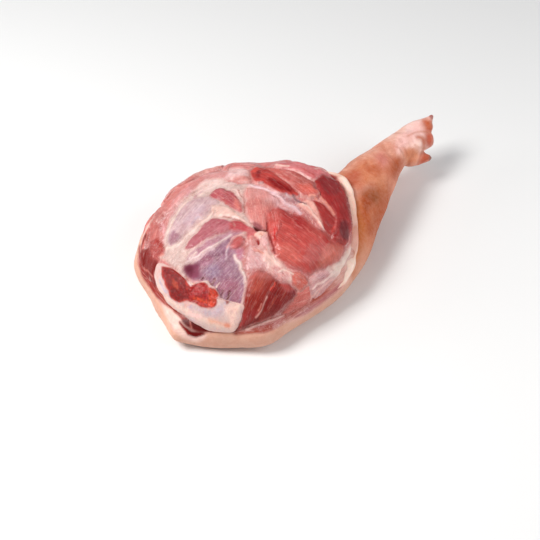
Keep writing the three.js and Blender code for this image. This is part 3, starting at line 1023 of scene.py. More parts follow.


# Layers of the cut face from the lowest to the topmost. Outlines are x,y pairs in pixels of the photograph,
# and colours are display colours.
PATCHES = (
    muscle("far band", "-60,128 -10,152 50,150 100,120 112,150 60,188 -10,196 -70,176", 0xE0A098, 6, 14, 170,
           SILVERED, space=Space.FACE),
    muscle("far lower band", "60,96 110,86 150,70 168,96 120,150 80,160 52,128", 0xD27874, 4, 14, 140,
           SILVERED, space=Space.FACE),
    muscle("left lower band", "-186,60 -160,96 -122,120 -70,152 -84,184 -150,160 -196,100", 0xC86056, 5, 14,
           35, SILVERED, space=Space.FACE),
    muscle("outer shoulder muscle", "150,216 157,207 165,196 172,188 182,183 192,178 203,173 216,170 230,168 "
           "246,167 251,172 249,179 238,179 230,177 220,179 210,182 200,187 190,194 181,200 172,206 165,211 "
           "158,218 152,223", 0xD68E86, 6, 15, 38, SILVERED, step=0.3),
    # Pale pink painted highlight on the top of the outer shoulder muscle.
    stain("pink bloom", "204,177 216,172 230,169 244,169 248,176 232,178 216,182 206,185", 0xECCAC8, 5, 0.8),
    stain("deep salmon", "161,208 165,197 172,188 184,180 198,175 203,180 192,190 180,199 170,208", 0xCE746C,
          5),
    stain("shoulder shade", "155,217 160,208 168,206 168,213 161,221", 0xBE706A, 4),
    thread("far lip", "227,168 232,164.5 240,163.5 256,163.5", 0xB8706C, 2.0, 3.5, 3, 1.5, lift=6,
           tissue=SILVERED),
    muscle("left shoulder muscle", "150,224 153,220 155,220 157.5,225 158,232 157.5,240 154,246 149,247 "
           "147.5,238 148.5,230", 0xC0625A, 1.6, 6, 72, SILVERED, soft=3),
    thread("mauve streaks", "161,221 162.5,228 163,236 161,241", 0xDE969C, 1.6, soft=2.5),
    thread("shoulder red line", "159,222 160,229", 0xAC4C56, 1.0, soft=1.5),
    thread("rind rim", "151.5,220 147.5,229 144,238 141,247 139.5,254", 0xEAC0B4, 2.2, soft=1.6),
    thread("dark slit at the rind", "147.5,237 145.5,245 142,257", 0x802018, 2.6, -2, 4, 2, lift=0,
           tissue=LEAN),
    muscle("butt muscle", "147,248 150,243 156,240 162,243 166,250 163,256 158,260 155,268 153,276 155,284 "
           "160,292 165,302 158,298 150,290 144,284 141,278 140,266 141,256", 0x84120C, 1.6, 9, 80, DULL,
           lift=0),
    stain("butt bright top", "148,245 152,241 157,238 163,242 167,250 164,257 157,260 150,256", 0xA82E26, 5,
          grain=60, tissue=SILVERED),
    stain("salmon by the bone", "158,256 163,253 166,256 162,260", 0xE88C7A, 2.5),
    thread("butt thread", "144,270 148,273 151,277", 0xCE786C, 0.8, soft=1.2),
    muscle("butt foot", "155,285 160,291 165,301 170,308 177,315 182,320 178,319 170,311 162,301 156,292",
           0xB04A3A, 1, 4, -50, LEAN, lift=0),
    muscle("fat field", "164,248 163,238 165,228 169,216 175,206 184,198 195,189 206,183 217,180 229,181 "
           "238,183 251,182 255,188 246,196 247,212 252,222 258,226 250,233 236,246 226,252 210,256 198,264 "
           "188,272 183,278 174,268 164,260 158,258 162,254", 0xCEB0A6, 2, 8, 35, FILM, soft=5),
    muscle("upper film", "168,242 169,232 173,222 178,212 185,204 194,198 204,196 214,197 218,202 213,209 "
           "205,216 197,222 190,228 184,235 178,241 173,246", 0xC4A4A8, 2.4, 9, 50, MEMBRANE, soft=6),
    stain("mauve spot", "169,243 171,235 175,231 179,236 176,242 172,246", 0x965C74, 4, 0.7),
    stain("film grey", "184,222 190,212 198,206 206,205 204,212 196,219 189,227", 0xC4A6B0, 6, 0.8),
    stain("shoulder pink", "194,178 206,172 222,169 229,172 226,178 214,181 202,186 192,192 186,192",
          0xD68682, 5, 0.75),
    stain("pink by the film", "168,214 172,204 180,194 190,188 196,190 186,198 178,208 172,216", 0xCE9292, 5,
          0.7),
    stain("fat field pale", "198,187 208,181 222,180 237,182 232,186 220,186 208,190 200,195", 0xF0D4CC, 4,
          0.75),
    thread("film gap one", "196,228 191,232 187,237", 0xA07C8A, 1.8, -1, 3, 1.5),
    thread("film gap two", "199,217 195,221 192,224", 0xB69EAA, 1.6, soft=2),
    thread("film gap three", "202,191 197,194 193,198", 0xB88892, 1.5, soft=2),
    thread("film gap four", "190,194 187,197", 0xBE7882, 1.4, soft=2),
    thread("cream border", "166,248 175,246 184,239 192,231 201,223 209,217 215,212", 0xECD4C8, 2.8, 1.6, 4,
           2.5, tissue=FAT),
    thread("cream spine", "168,232 172,222 177,213 184,205 192,199", 0xEAD4C8, 2.2, 1.2, 4, 3, tissue=FAT),
    Patch("cream lobe", "211,207 219,204 228,206 236,211 241,216 251,223 246,224 238,220 228,217 218,216 "
          "212,214", 0xE6C2B6, 2, 6, soft=3, tissue=SILVERED),
    muscle("neck muscle", "209,195 213,190 220,187 227,188 233,191 238,196 242,202 243.5,208 241,211 236,209 "
           "231,206 226,203 220,200 213,198", 0xAE4850, 4, 8, -30, SILVERED),
    thread("neck dark rim", "221,200 227,203 231,206", 0xB03E3C, 1.5, soft=3),
    stain("neck pale end", "235,199 241,203 241,209 236,207", 0xDE7C72, 4),
    thread("neck white rim", "229,187 236,190 241,196 244,203", 0xF0CEC6, 0.7, 1, 3, 1.2),
    muscle("strip film", "186,258 194,250 204,243 216,236 230,230 244,230 232,238 218,244 206,251 194,259",
           0xB47E8E, 0, 6, 32, SILVERED, soft=4),
    muscle("pink strip", "184,249 188,241 194,234 200,227 206,221.5 213,217 221,218 229,220 234,223 234,228 "
           "227,231 219,233 211,236 204,240 197,245 190,249", 0xAE5662, 4, 8, 34, SILVERED),
    stain("strip shade", "190,247 198,240 208,234 214,235 204,241", 0xAA5462, 4, 0.8),
    muscle("strip deep end", "231,221 238,220.5 246,224 251,229 246,232 238,231 231,229", 0xBA4A50, 1, 5, -15,
           LEAN, soft=3),
    stain("red by the pit", "249,226 257,230 256,240 250,238 246,233", 0xC45C5E, 3, tissue=SILVERED),
    thread("strip brown line", "222,216.5 230,218 238,220 245,223", 0xA4584C, 0.8, -1, 2, 1.2),
    muscle("lower film", "194,264 203,256 212,249 221,243 230,238 236,246 239,254 238,262 240,268 244,276 "
           "245,286 243,296 241,304 234,303 226,304 220,298 215,291 208,285 200,282 192,280 188,270",
           0x906078, -1.5, 22, 48, MEMBRANE, soft=5, lift=1),
    stain("film blue", "206,268 214,264 220,270 214,277 208,275", 0x886C8A, 7, 0.8, lift=0),
    stain("film pink", "198,262 206,256 212,258 206,265 200,267", 0xA05C76, 6, lift=0),
    stain("film mauve foot", "216,284 226,279 238,282 240,292 228,292 219,292", 0x96546C, 6, lift=0),
    thread("film line one", "186,262 196,256 208,249 221,241 231,234", 0xE8D0CE, 1.7, 1.5, 3, 2),
    thread("film line two", "194,263 203,256 214,249", 0xD6B4BA, 0.8, 1, 3, 1.5, lift=1),
    thread("film line three", "225,258 228,250 233,243", 0xCAAEBA, 1.3, 1, 3, 2, lift=1),
    thread("white glint", "189,257 193,255 196,252", 0xEAD4CC, 1.6, 0, 3, 2.5),
    # The hollow is not built here: its plum colour, darkest in the middle, is painted shadow.
    Patch("cavity", "183,270 187,265 193,262.5 198,264 200,270 199,277 194,280 189,278 185,274", 0x8A465C, 0,
          9, soft=5, lift=1, tissue=GAP),
    stain("cavity depth", "186,270 190,266 194,270 192,276 188,274", 0x702A3E, 5, lift=0, tissue=GAP),
    thread("hole by the bone", "201,279 203,277", 0x682230, 1.5, -1, 2, 1.5, lift=2),
    thread("first slit", "214.5,277 213,281 211,285.5", 0x782E3E, 1.7, -1.2, 3, 1.5, lift=2),
    thread("second slit", "222,290 221,294 220,298", 0x7C3244, 1.6, -1.2, 3, 1.5, lift=2),
    thread("third slit", "229,291 227.5,297 226,302", 0x702230, 2.0, -1.6, 3, 1.5, lift=2),
    Patch("mauve behind the slit", "232,291 238,291 238,299 234,302 231,298", 0x96586E, -0.6, 4, soft=2.5,
          lift=2),
    thread("white fibre", "219,281 216,286 213,291", 0xEED6CE, 0.8, 1, 2, 1.2),
    thread("film edge", "235,254 238,260 241,268 244.5,275 245.5,284 244,293 242,303 240,316", 0xECD4CC, 2.4,
           2.2, 4, 2.4, tissue=FILM),
    stain("mauve under the oval", "236,247 240,246 244,249 243,256 240,259 237,254", 0xB66880, 3),
    muscle("small oval", "230,245 232,241 236,237 241,235.5 245,238 245,242 241,245 236,247.5 232,247.5",
           0xBC5454, 3, 6, 35, SILVERED, soft=2.5),
    thread("oval's border", "228,246 232,239 238,235 244,235 248,239 246,244", 0xE4A8A4, 1.0, 1, 2, 1.5),
    muscle("pink under the tufts", "246,256 249,248 256,246 263,250 269,258 271,268 264,272 254,270 247,268",
           0xD49E9E, 1.2, 8, -50, FILM, soft=6),
    Patch("tuft web", "249,246 254,240 258,234 263,230 269,233 270,242 272,252 264,252 256,250", 0xE4ACA4, 2,
          5, soft=4, tissue=FILM, cover=0.8),
    muscle("middle muscle", "246,188 254,187 262,188 271,192 279,199 277,204 271,209 268,218 267,226 260,226 "
           "252,221 248,213 245.5,203", 0xCE7A72, 3.5, 10, -78, SILVERED, step=0.25, soft=5),
    stain("middle haze", "247,189 256,186 264,188 272,194 278,202 268,204 258,198 250,198", 0xD6928C, 6, 0.9),
    stain("middle red", "272,207 284,207 296,212 306,220 300,226 286,222 276,216", 0xA62C2C, 7, 0.6),
    thread("middle dark line", "238,189 242,196 244.5,203 245,210", 0xB06054, 0.9, -0.4, 2, 1.5),
    thread("black seam", "236,183 240,183.5", 0x603634, 1.0, -2, 2, 1.2),
    muscle("dark band", "250,171 253,167 259,166 266,168 273,171 281,176 287,181 293,186 299,191 298,195 "
           "291,195 284,194 277,192 271,188 266,184 260,182 254,180 251,176", 0xB43C36, 4, 6, -32, LEAN,
           soft=2.5),
    stain("dark band core", "268,179 276,180 284,184 294,190 290,193 282,191 275,187", 0x86060A, 4),
    stain("bright spot", "252,169 256,167 258,171 254,173", 0xDA4E42, 3),
    stain("deep spot", "256,172 259,171 260,177 257,177", 0x8C1A1E, 2.5),
    thread("hole under the band", "259,182 264,183", 0x6A2C30, 1.2, -1.5, 2, 1.5),
    muscle("pale band", "258,165 268,166 280,167.5 291,169 300,172.5 308,177 314.5,180 316,186 319,190 "
           "320,194 312,195.5 304,195 299,191.5 294,187 288,181 281,175.5 272,170", 0xBE5850, 6, 8, -32,
           SILVERED),
    stain("pale band glow", "298,186 306,185 314,188 316,193 306,194 300,191", 0xD85C4C, 4),
    thread("pale band cream rim", "286,168.5 295,170 303,173.5 310,178 315,181", 0xF0C0B2, 1.3, 1, 2, 1.5),
    muscle("outer band", "275,164 281,160.5 290,161 300,163 310,166 320,168 328,172 332,176 322,177 314,178 "
           "308,176 300,172 292,169 283,167", 0xCE7072, 5, 7, -18, SILVERED),
    thread("outer band red foot", "300,170.5 306,173 313,176.5", 0xBE423C, 1.5, soft=2),
    thread("cream by the outer band", "276,165 282,167 288,168", 0xF2CEC0, 1.6, soft=1.8),
    thread("cream spots at the elbow", "315,172 319,171 325,174 330,172", 0xECBAB0, 1.5, soft=2),
    muscle("elbow muscle", "314,179 322,176 332,177 340,181 345,189 348,198 350,208 352,218 353,228 351,236 "
           "349,243 345,247 338,243 334,234 336,222 335,214 330,208 326,202 322,196 319,190 316,184",
           0xA02626, 5.5, 10, -62, LEAN),
    stain("elbow top", "317,180 326,178 336,184 338,194 328,196 321,190", 0x8A1E22, 5),
    thread("elbow right side", "344,190 348,198 351,210 353,222 352,232", 0xB2423C, 3.4, 2.6, 4, 4),
    stain("elbow maroon", "338,224 344,222 348,230 348,240 342,240 338,234", 0x741C22, 4),
    muscle("strap muscles", "310,201 316,199 324,203 330,210 336,218 337,226 334,234 328,232 323,222 318,212 "
           "313,206", 0xA22E2C, 2, 6, -45, LEAN, soft=2),
    muscle("brisket muscle", "273,250 271,238 269,228 271,215 274,207 279,203 284,207 290,212 297,212 "
           "304,214 313,221 322,228 330,233 338,240 348,246 346,254 339,262 331,267.5 320,270 310,273 "
           "303,271 296,268 288,264 279,261 274,256", 0xBE4C46, 5, 18, -38, LEAN, soft=8, step=0.1),
    stain("brisket top", "280,206 288,212 298,216 306,224 300,232 290,224 282,218", 0xA62C2C, 9),
    stain("brisket left", "276,246 286,244 296,252 300,262 290,262 280,258", 0xCA6258, 7),
    stain("brisket right", "324,248 334,244 344,250 338,260 328,265 318,266", 0xCE6C5E, 6),
    thread("brisket red spots", "323,238 327,241 325,243", 0xB82A26, 1.8, soft=2.5),
    thread("red by the strap", "334,227 332,231", 0xC43830, 1.8, soft=2.5),
    muscle("flap", "267,223 268,213 271,207 275,205 279,209 280,217 281,223 279.5,229 277,235 276,241 "
           "273,243 271,236 268,230", 0xC24C44, 1.8, 5, -82, SILVERED, lift=8, soft=5, step=0.2),
    stain("flap red", "274,228 277,232 276,240 273,241", 0xCC2822, 2),
    thread("flap shadow", "281.5,219 280.5,226 278,232 277.5,240", 0xA42E2A, 0.8, soft=1.5, lift=7),
    # Pale silverskin along the arc, with its sheen painted in as a lighter band.
    thread("silver arc", "250,184.5 261,186.5 270,190 278,195 286,200.5 294,206 301,211", 0xE4C2C8, 3.2, 1.2,
           4, 3.5, grain=-30, tissue=FILM),
    stain("silver haze", "268,194 276,198 284,204 292,209 284,208 274,203", 0xE2AAAC, 6),
    # Greyish mauve painted shadow under the overhang of the dark band.
    stain("grey under the dark band", "279,193 288,195 298,198 306,203 300,204 290,200 283,197", 0x9E6E74, 3,
          0.8),
    muscle("fat web", "299,203 305,199 312,199 316,205 320,213 325,227 321,224 315,216 308,210 303,206",
           0xECAC9E, 1.5, 4, -48, SILVERED, soft=2),
    thread("blue slit", "293,195 299,199 306,203", 0x623E4E, 1.5, -2.5, 3, 1.4),
    thread("second blue slit", "286,194 291,196", 0x967884, 1.2, -1.5, 3, 1.4),
    thread("strand", "318,191 324,198 330,206 335,213", 0xF29E8A, 1.0, 2, 2, 1.2, lift=6),
    thread("second strand", "308,196 314,196 321,200 326,203", 0xEE9680, 1.0, 1.5, 2, 1.2),
    thread("white strand", "303,203 309,206 315,214 321,221 325,228", 0xF4D4C8, 1.0, 1.5, 2, 1.2),
    thread("dark under the strand", "314,200 320,203 326,208", 0xA01E1C, 0.9, -1, 2, 1.2),
    muscle("fat between", "266,246 271,252 277,259 285,266 292,272 296,280 290,283 282,281 275,276 270,271 "
           "266,264 263,256", 0xEEC4B8, 2, 5, -48, FILM, soft=5),
    stain("fat between pink", "271,266 281,267 290,275 287,282 276,280", 0xCE8080, 4, 0.7),
    thread("knot's hole", "283,271 284,274", 0xA4605C, 0.9, -1.5, 2, 1.2),
    muscle("brown muscle", "243,292 246,281 250,273 256,269.5 263,270 270,274 276,279 283,283 290,284 "
           "296,290 298,296 293,301 287,306 281,312 274,318 264,321.5 254,325 246,329 236,332 240,322 "
           "242,308", 0x8E2820, 6, 14, 62, DULL, soft=5, step=0.3),
    stain("brown lit side", "250,276 257,271 265,274 268,282 258,292 250,292", 0xA8463A, 6),
    stain("brown mauve top", "283,284 290,285 297,291 293,299 286,293", 0x8A3438, 4),
    stain("brown soft top", "248,269 258,266 268,271 273,279 264,281 255,277 247,284", 0xC2706A, 6, 0.75),
    stain("brown red foot", "243,316 252,308 258,312 250,321 242,327", 0x962E2C, 4),
    stain("brown core", "270,292 280,290 290,294 288,304 278,312 266,314 264,304", 0x86201E, 7),
    stain("brown brow", "281,285 289,285 294,290 286,291", 0xB04844, 3),
    thread("blood spot", "271,291 274,291.5 277,289", 0x961212, 1.8, soft=2, lift=7),
    thread("bright blood", "275,283 274,287 271,290", 0xDC4232, 1.3, 0.5, 2, 1.5, lift=7),
    thread("red corner", "296,291 297,295", 0xB02426, 1.6, soft=2, lift=5),
    thread("fat streak", "256,316.5 260,311.5 264,304 267,297", 0xD69C92, 1.0, 1.2, 2, 1.5, lift=6),
    thread("fine streak", "258,310 262,303", 0xCE7E70, 0.9, 0.8, 2, 1.2, lift=6),
    thread("seam under the brown", "246,327 252,322 258,317", 0x7A1E1E, 1.1, -1, 2, 1.5),
    muscle("round end", "291,273 297,271.5 304,274.5 309,280 309,285 305,289 300,293 297,289 294,283",
           0xD06252, 4, 7, -40, SILVERED, soft=2.5),
    muscle("wedge under the round end", "298,294 304,290 310,285 312,293 314,300 316,306 307,309 297,312 "
           "288,315 283,314 288,307 294,300", 0xCC6458, 3.5, 7, 25, SILVERED, step=0.3),
    muscle("near film", "310,277 316,272.5 323,270 334,268.5 344,267 349,272 348,279 344,285 337,292 329,299 "
           "320,306 316,306 313,298 310.5,290", 0xD09290, 2.6, 9, 40, FILM, soft=4),
    stain("near film mauve", "317,276 322,273 327,275 324,279 319,279", 0xB47A84, 3, 0.6),
    stain("near film grey", "330,272 340,269 347,272 346,279 338,280", 0xF4DCD0, 5),
    stain("near film salmon", "326,290 336,285 342,284 336,291 328,297", 0xDA8072, 4),
    stain("near film violet", "314,302 319,297 324,297 320,303", 0xB27A8A, 3.5),
    thread("film vein one", "313,290 318,284 324,280 331,276 339,271", 0xFFE0D6, 1.1, 1.2, 2, 1.3),
    thread("film vein two", "311,301 315,295 319,289 326,283 335,279 345,276", 0xFAC2B6, 1.0, 1.2, 2, 1.3),
    thread("film vein three", "313,306 316,298 320,291", 0xEEA496, 0.9, 1, 2, 1.2),
    Patch("elbow fat", "328,270 338,263.5 345,257 350,250 354,244 357,250 356,262 353,274 349,280 345,275 "
          "341,268", 0xFFE2D4, 2, 6, soft=4, tissue=FAT),
    stain("elbow cream", "334,268 341,262 348,254 353,250 353,262 350,274 344,279 339,273", 0xFFEADA, 4, 0.8,
          tissue=FAT),
    stain("pit plum", "252,221 257,222 263,226 260,228 255,226", 0x964C52, 2, tissue=GAP),
    Patch("pit", "253,225 257,226.5 262,227.5 268,228 265,230.5 258,230 254,228", 0x4E080A, -1.4, 3, soft=1.4,
          tissue=GAP),
    thread("flap crack", "267,222 268,230 270.5,238 272.5,246 274,252", 0x78080A, 1.0, -1.6, 3, 1.5, lift=2,
           tissue=GAP),
    thread("hole in the tufts", "257,239.5 258,243", 0x8C0C0C, 2.2, -2.0, 2, 1.5, tissue=GAP),
    thread("second hole", "261,233 263,234.5", 0x96221E, 1.4, -1.5, 2, 1.5, tissue=GAP),
    thread("tufts red", "263,243 266,249", 0xCE6E68, 1.3, soft=2),
    thread("tufts fleck", "272,254 275,262 281,268", 0xFAD8C8, 1.2, 1.0, 2, 1.4),
    thread("second fleck", "279,272 286,270 292,274", 0xFADACC, 1.2, 1.0, 2, 1.4),
    thread("salmon tuft", "253,248 258,250 263,252", 0xF09882, 1.2, 2.0, 2, 1.5),
    Patch("upper tuft", "255,234 258,230 264,229 268,232 264,235 260,237", 0xF0BEAC, 1.6, 3, soft=1.8),
    Patch("left tuft", "250,236 254,235 255,240 253,247 250,243", 0xE4ACA2, 1.2, 3, soft=2),
    stain("tufts blush", "250,237 256,236 257,245 254,250 250,246", 0xC2605C, 3, 0.7),
    Patch("right tuft", "262,238 267,237 269,243 265,246 262,243", 0xE2AAA6, 1, 3, soft=2.5),
    *strands("butt curl", "150,250 154,246 159,246 152,256 158,251", (5, 3), 0xDA7062),
    *strands("brisket fibre", "284,214 292,222 301,226 311,232 287,234 297,240 308,245 321,249 282,246 "
             "291,255 303,258 316,261 318,238", (9, 7), 0xE0847A),
    *strands("brown fibre", "248,300 253,292 259,288 251,310 263,281 272,304 280,300 268,312", (5, -9),
             0xC46852),
    *strands("film white fibre", "177,226 183,216 190,211 198,206 205,202", (-6, 7), 0xEEDCD8, 0.6),
    *strands("neck fibre", "214,193 220,191 226,192 231,196", (9, 6), 0xE68C84),
    *strands("pale band fibre", "266,169 276,171 287,174 296,178 302,184", (11, 7), 0xE89486),
    *strands("dark band fibre", "260,172 268,175 277,181 285,186", (9, 6), 0xC44840),
    *strands("elbow fibre", "326,182 332,190 337,199 341,208 334,184", (5, 10), 0xB24642),
)


@dataclass
class CutFace:
    """The whole cut face as one closed surface over the dome."""

    name: str = "cut_face"
    side: int = 310
    wobble: float = 3.0
    base: int = 0xC6706A
    under: int = 0xB0544C
    # Colours of the seams: a dark painted shadow and pale film.
    seam_shadow: int = 0x8C2826
    seam_pale: int = 0xF2CEC4
    seam_film_and_shadow_strength: float = 0.45
    seam_width: float = 1.3
    step_from: float = 3.0
    fibre_length: float = 26.0
    fibre_width: float = 3.4
    grain_shift: float = 37.0
    bone_sink: float = 4.0
    fan_height: float = 34.0
    finish: MeatFinish = MeatFinish("raw_meat")
    bone_outline: tuple[Point2, ...] = field(default_factory=tuple)

    def square_to_disc(self) -> Array:
        """Face coordinates of a square grid laid on the face: r is the larger coordinate, and the angle runs
        evenly along each side of a square."""
        line = np.linspace(-1.0, 1.0, self.side)
        a, b = (part.ravel() for part in np.meshgrid(line, line, indexing="xy"))
        wide = np.abs(a) >= np.abs(b)
        reach = np.where(wide, a, b)
        safe_a = np.where(a == 0.0, 1.0, a)
        safe_b = np.where(b == 0.0, 1.0, b)
        angle = np.where(wide, math.pi / 4 * b / safe_a, math.pi / 2 - math.pi / 4 * a / safe_b)
        spoke = heading(angle) * reach[:, None]
        true_angle = np.arctan2(spoke[:, 1], spoke[:, 0])
        return np.array(FACE.middle) + spoke * FACE.edge_distance(true_angle)[:, None]

    def fields(self, places: Array) -> dict[str, Array]:
        """Height and paint of the face: each patch lies over those before it.

        Args:
            places: face coordinates.

        Returns:
            Values by layer name, with lift for the height over the dome.
        """
        count = len(places)
        bent = places + jitter(places, 13.0, (5, 6), 4) * self.wobble
        tint = np.tile(srgb(self.base), (count, 1))
        layers = {name: np.full(count, value) for name, value in (("streak", 0.4), ("thread", 0.4),
                                                                  ("veil", 0.35), ("gloss", 1.0))}
        grain = np.full(count, 20.0)
        lift = np.zeros(count)
        seam = np.zeros(count)
        for patch in PATCHES:
            distance = patch.distance(bent)
            share = smoothstep(patch.soft, -patch.soft, distance) * patch.cover
            tint = tinted(tint, patch.colour, share)
            for name, value in zip(layers, patch.tissue.value if patch.tissue else ()):
                layers[name] = blend(layers[name], np.full(count, value), share)
            if patch.grain is not None:
                grain = np.where(distance < 0.0, patch.fibre_angle(), grain)
            inward = np.clip(-distance / patch.edge, 0.0, 1.0)
            rounded = inward * (2.0 - inward)
            if patch.swell >= self.step_from:
                # The seam round the foot of a raised patch: a shallow groove, painted pale film in places and
                # dark painted shadow in others.
                rim = np.exp(-((distance + 0.4) / self.seam_width) ** 2)
                seam = np.maximum(seam * (1.0 - share), rim * min(1.0, 2.0 * patch.step))
                level = patch.swell * (patch.step + (1.0 - patch.step) * rounded)
                lift = blend(lift, level, smoothstep(1.6, -1.6, distance))
            else:
                lift = lift + patch.swell * rounded
        under = np.clip(1.0 - FACE.shown(places) * 1.6, 0.0, 1.0)
        tint = tinted(tint, self.under, under)
        layers["veil"] = layers["veil"] * (1.0 - under)
        angle = np.radians(grain)
        along = places[:, 0] * np.cos(angle) + places[:, 1] * np.sin(angle)
        across = places[:, 1] * np.cos(angle) - places[:, 0] * np.sin(angle)
        fibres = np.column_stack([along / self.fibre_length, across / self.fibre_width])
        ripple = noise(fibres, 1.0, 9, 2) * layers["streak"]
        lumps = noise(places, 22.0, 11, 3)
        seam = seam * np.clip(0.6 + 0.9 * noise(places, 16.0, 15, 2), 0.0, 1.0)
        lift = lift + 0.7 * lumps + 0.3 * ripple + 0.4 * noise(places, 6.0, 17, 2) - 0.3 * seam
        under_bone = line_distance(places, smooth_line(self.bone_outline, True), True)
        lift = blend(lift, np.minimum(lift, -self.bone_sink), smoothstep(-2.5, -5.5, under_bone))
        # Seam colour: dark painted shadow, turning to pale film where the noise is high.
        pale = np.clip(noise(places, 30.0, 13, 2) * 2.0 + 0.5, 0.0, 1.0)
        seam_film_and_shadow_tint = tinted(np.tile(srgb(self.seam_shadow), (count, 1)), self.seam_pale, pale)
        tint = blend(tint, seam_film_and_shadow_tint, self.seam_film_and_shadow_strength * seam)
        blotch = 0.1 * noise(places, 8.0, 23, 3)
        shade = 1.0 + 0.2 * noise(fibres, 1.0, 21, 2) * layers["streak"] + 0.14 * lumps + blotch
        tint = np.clip(tint * shade[:, None], 0.0, 1.0)
        step = self.grain_shift * np.round(grain)
        grains = np.column_stack([along + step, across, np.zeros(count)])
        return {"tint": tint, "grain": grains, "lift": lift, **layers}

    def build(self, effects: Effects) -> Object:
        """Makes the face, closed below by a fan from the edge of its undercut.

        Args:
            effects: the shared shader groups.

        Returns:
            The piece.
        """
        places = self.square_to_disc()
        fields = self.fields(places)
        lift = fields.pop("lift") * FACE.shown(places)
        points = FACE.put(places, lift + bulged(FACE.put(places, lift)))
        side = self.side
        ring = np.concatenate([
            np.arange(side),
            np.arange(1, side) * side + side - 1,
            side * side - 2 - np.arange(side - 1),
            np.arange(side - 2, 0, -1) * side,
        ])
        middle = len(points)
        points = np.vstack([points, [*FACE.middle, self.fan_height]])
        faces = [tuple(face) for face in grid_faces(side, side, False).tolist()]
        faces += [(int(b), int(a), middle) for a, b in zip(ring, np.roll(ring, -1))]
        piece = make_piece(self.name, points, faces)
        paint(piece, **{name: np.concatenate([values, values[-1:]]) for name, values in fields.items()})
        piece.data.materials.append(self.finish.material(effects))
        return piece


# Skin, shank and foot


@dataclass(frozen=True)
class Mark:
    """A patch of colour or a crease on the skin, with its outline as x,y pairs in pixels of the photograph.

    It lies on the side that the photograph shows, and fades where that side turns away. Soft, half and dent
    are millimetres, and dent is how deep it is pressed in. Cut is 1 for bare flesh and 0 for skin.
    """

    name: str
    outline: str
    colour: int
    soft: float = 4.0
    half: float = 0.0
    strength: float = 1.0
    cut: float | None = None
    dent: float = 0.0

    def share(self, seen: Array, facing: Array) -> Array:
        """Share of the mark at points of the skin.

        Args:
            seen: pixels at which the points are seen.
            facing: how squarely each faces the camera, from -1 to 1.

        Returns:
            One value from 0 to 1 for each point.
        """
        closed = self.half == 0.0
        line = smooth_line(path(self.outline), closed)
        off = line_distance(seen, line, closed) / SIGHT.scale - self.half
        return smoothstep(self.soft, -self.soft, off) * self.strength * smoothstep(0.0, 0.3, facing)


SKIN_MARKS = (
    Mark("red by the elbow", "343,180 351,170 361,172 359,184 350,189", 0xB85C44, 8),
    Mark("pink below it", "350,192 358,187 372,184 373,190 353,199", 0xD4927E, 8),
    Mark("brown shade", "361,194 370,188 381,191 379,203 368,205", 0x924822, 9),
    Mark("burnt orange", "361,201 367,196 372,201 369,212 364,216", 0x9A3C0C, 7),
    Mark("orange flank", "354,206 362,212 366,226 362,248 356,268 352,276 354,250", 0xBE601A, 10),
    Mark("orange streak", "364,214 368,222 370,232", 0xB24A12, 6, half=3),
    Mark("orange spots", "367,165 369,170 375,168 379,170", 0xB04E2C, 5, half=2, strength=0.8),
    Mark("knee blush", "377,152 384,153 389,160 383,167 377,160", 0xD8847A, 8),
    Mark("knee sheen", "384,148 392,148 390,156", 0xF2BEAA, 7, strength=0.8),
    Mark("under the knee", "391,162 400,157 403,168 395,180 389,172", 0xB85832, 8),
    Mark("pink foot", "396,140 408,128 422,122 424,132 412,142 400,152", 0xFFCEC8, 9),
    # Painted highlight along the upper edge of the shank.
    Mark("light upper edge", "345,171 362,159 382,147 402,129", 0xF0B6A0, 5, half=3, strength=0.7),
    Mark("heel tan", "404,150 414,148 420,154 416,163 406,164", 0xE0906C, 6),
    Mark("orange front", "422,120 430,119 434,126 433,131 426,131", 0xC25C3A, 5),
    Mark("near toe", "426,133 433,133 434,142 430,147 425,142", 0xC65840, 5),
    # Orange skin in the hollow behind the toe, with the hollow's shade painted in, and a slight dent.
    Mark("hollow behind the toe", "418,137 422,138 424,142 424,147", 0xBC5428, 3.4, half=2.0, dent=0.4,
         strength=0.9),
    Mark("hollow folds", "415,145 419,147 423,149", 0xCE7A50, 2.4, half=0.8, dent=0.3, strength=0.6),
    Mark("cleft between the toes", "408,136 414,133 421,131.5 428,132 434,131.5", 0xCE8064, 2.2, half=0.7,
         dent=0.9, strength=0.8),
    Mark("crease above the claw", "424,148 422,152 420,158 418,164", 0xB66846, 2.2, half=0.7, dent=0.7,
         strength=0.8),
    Mark("dew claw", "423,152 430,153 433,158 425,163 419,164", 0xC2563C, 4),
    Mark("claw tip", "430,156 433,157 432,161 429,160", 0x86605A, 2),
    Mark("far nail", "429,114 434,114 433,119 430,118", 0xA06464, 2),
    Mark("wall pale fat", "160,298 168,303 182,318 196,332 206,336 196,342 180,336 168,320", 0xF4D0C4, 4,
         cut=0.6),
    Mark("butt muscle on the wall", "139,246 139,260 141,274 146,283 155,295 165,305 170,300 162,286 154,270 "
         "148,246", 0x9A2C24, 2, cut=1),
    Mark("wall dark strip", "164,300 172,307 180,314 185,320", 0x9C3226, 1.8, half=3.4, cut=1),
    Mark("wall block", "183,319 194,319 206,325 216,329 206,332 192,330 184,324", 0x5E0806, 2.5, cut=1),
    Mark("block thread", "190,320 191,328", 0xC47064, 1.5, half=0.6),
    Mark("blood pocket", "180,323 188,328 193,331 203,332 204,335 196,337.5 190,336 185,331", 0x640000, 2.2,
         cut=1, dent=1.5),
    Mark("blood rim", "180,322 184,328 189,334", 0x8C0604, 1.4, half=1.2, cut=1),
    Mark("wall orange strip", "236,333 250,331.5 262,330 271,328", 0xA03C26, 3, half=3.0, cut=1),
    Mark("wall cream line", "246,330 258,325 272,320 284,315", 0xF0C4B8, 1.6, half=0.9, cut=1),
    Mark("pink wall", "284,322 298,315 314,305 328,295 342,282 350,275 346,284 330,298 312,310 296,320",
         0xE8B4A8, 5, cut=1),
    Mark("film on the wall", "292,318 304,310 316,302 326,295 334,288 342,281 340,288 330,297 318,306 "
         "306,314", 0xBE7070, 2.5, cut=1),
)


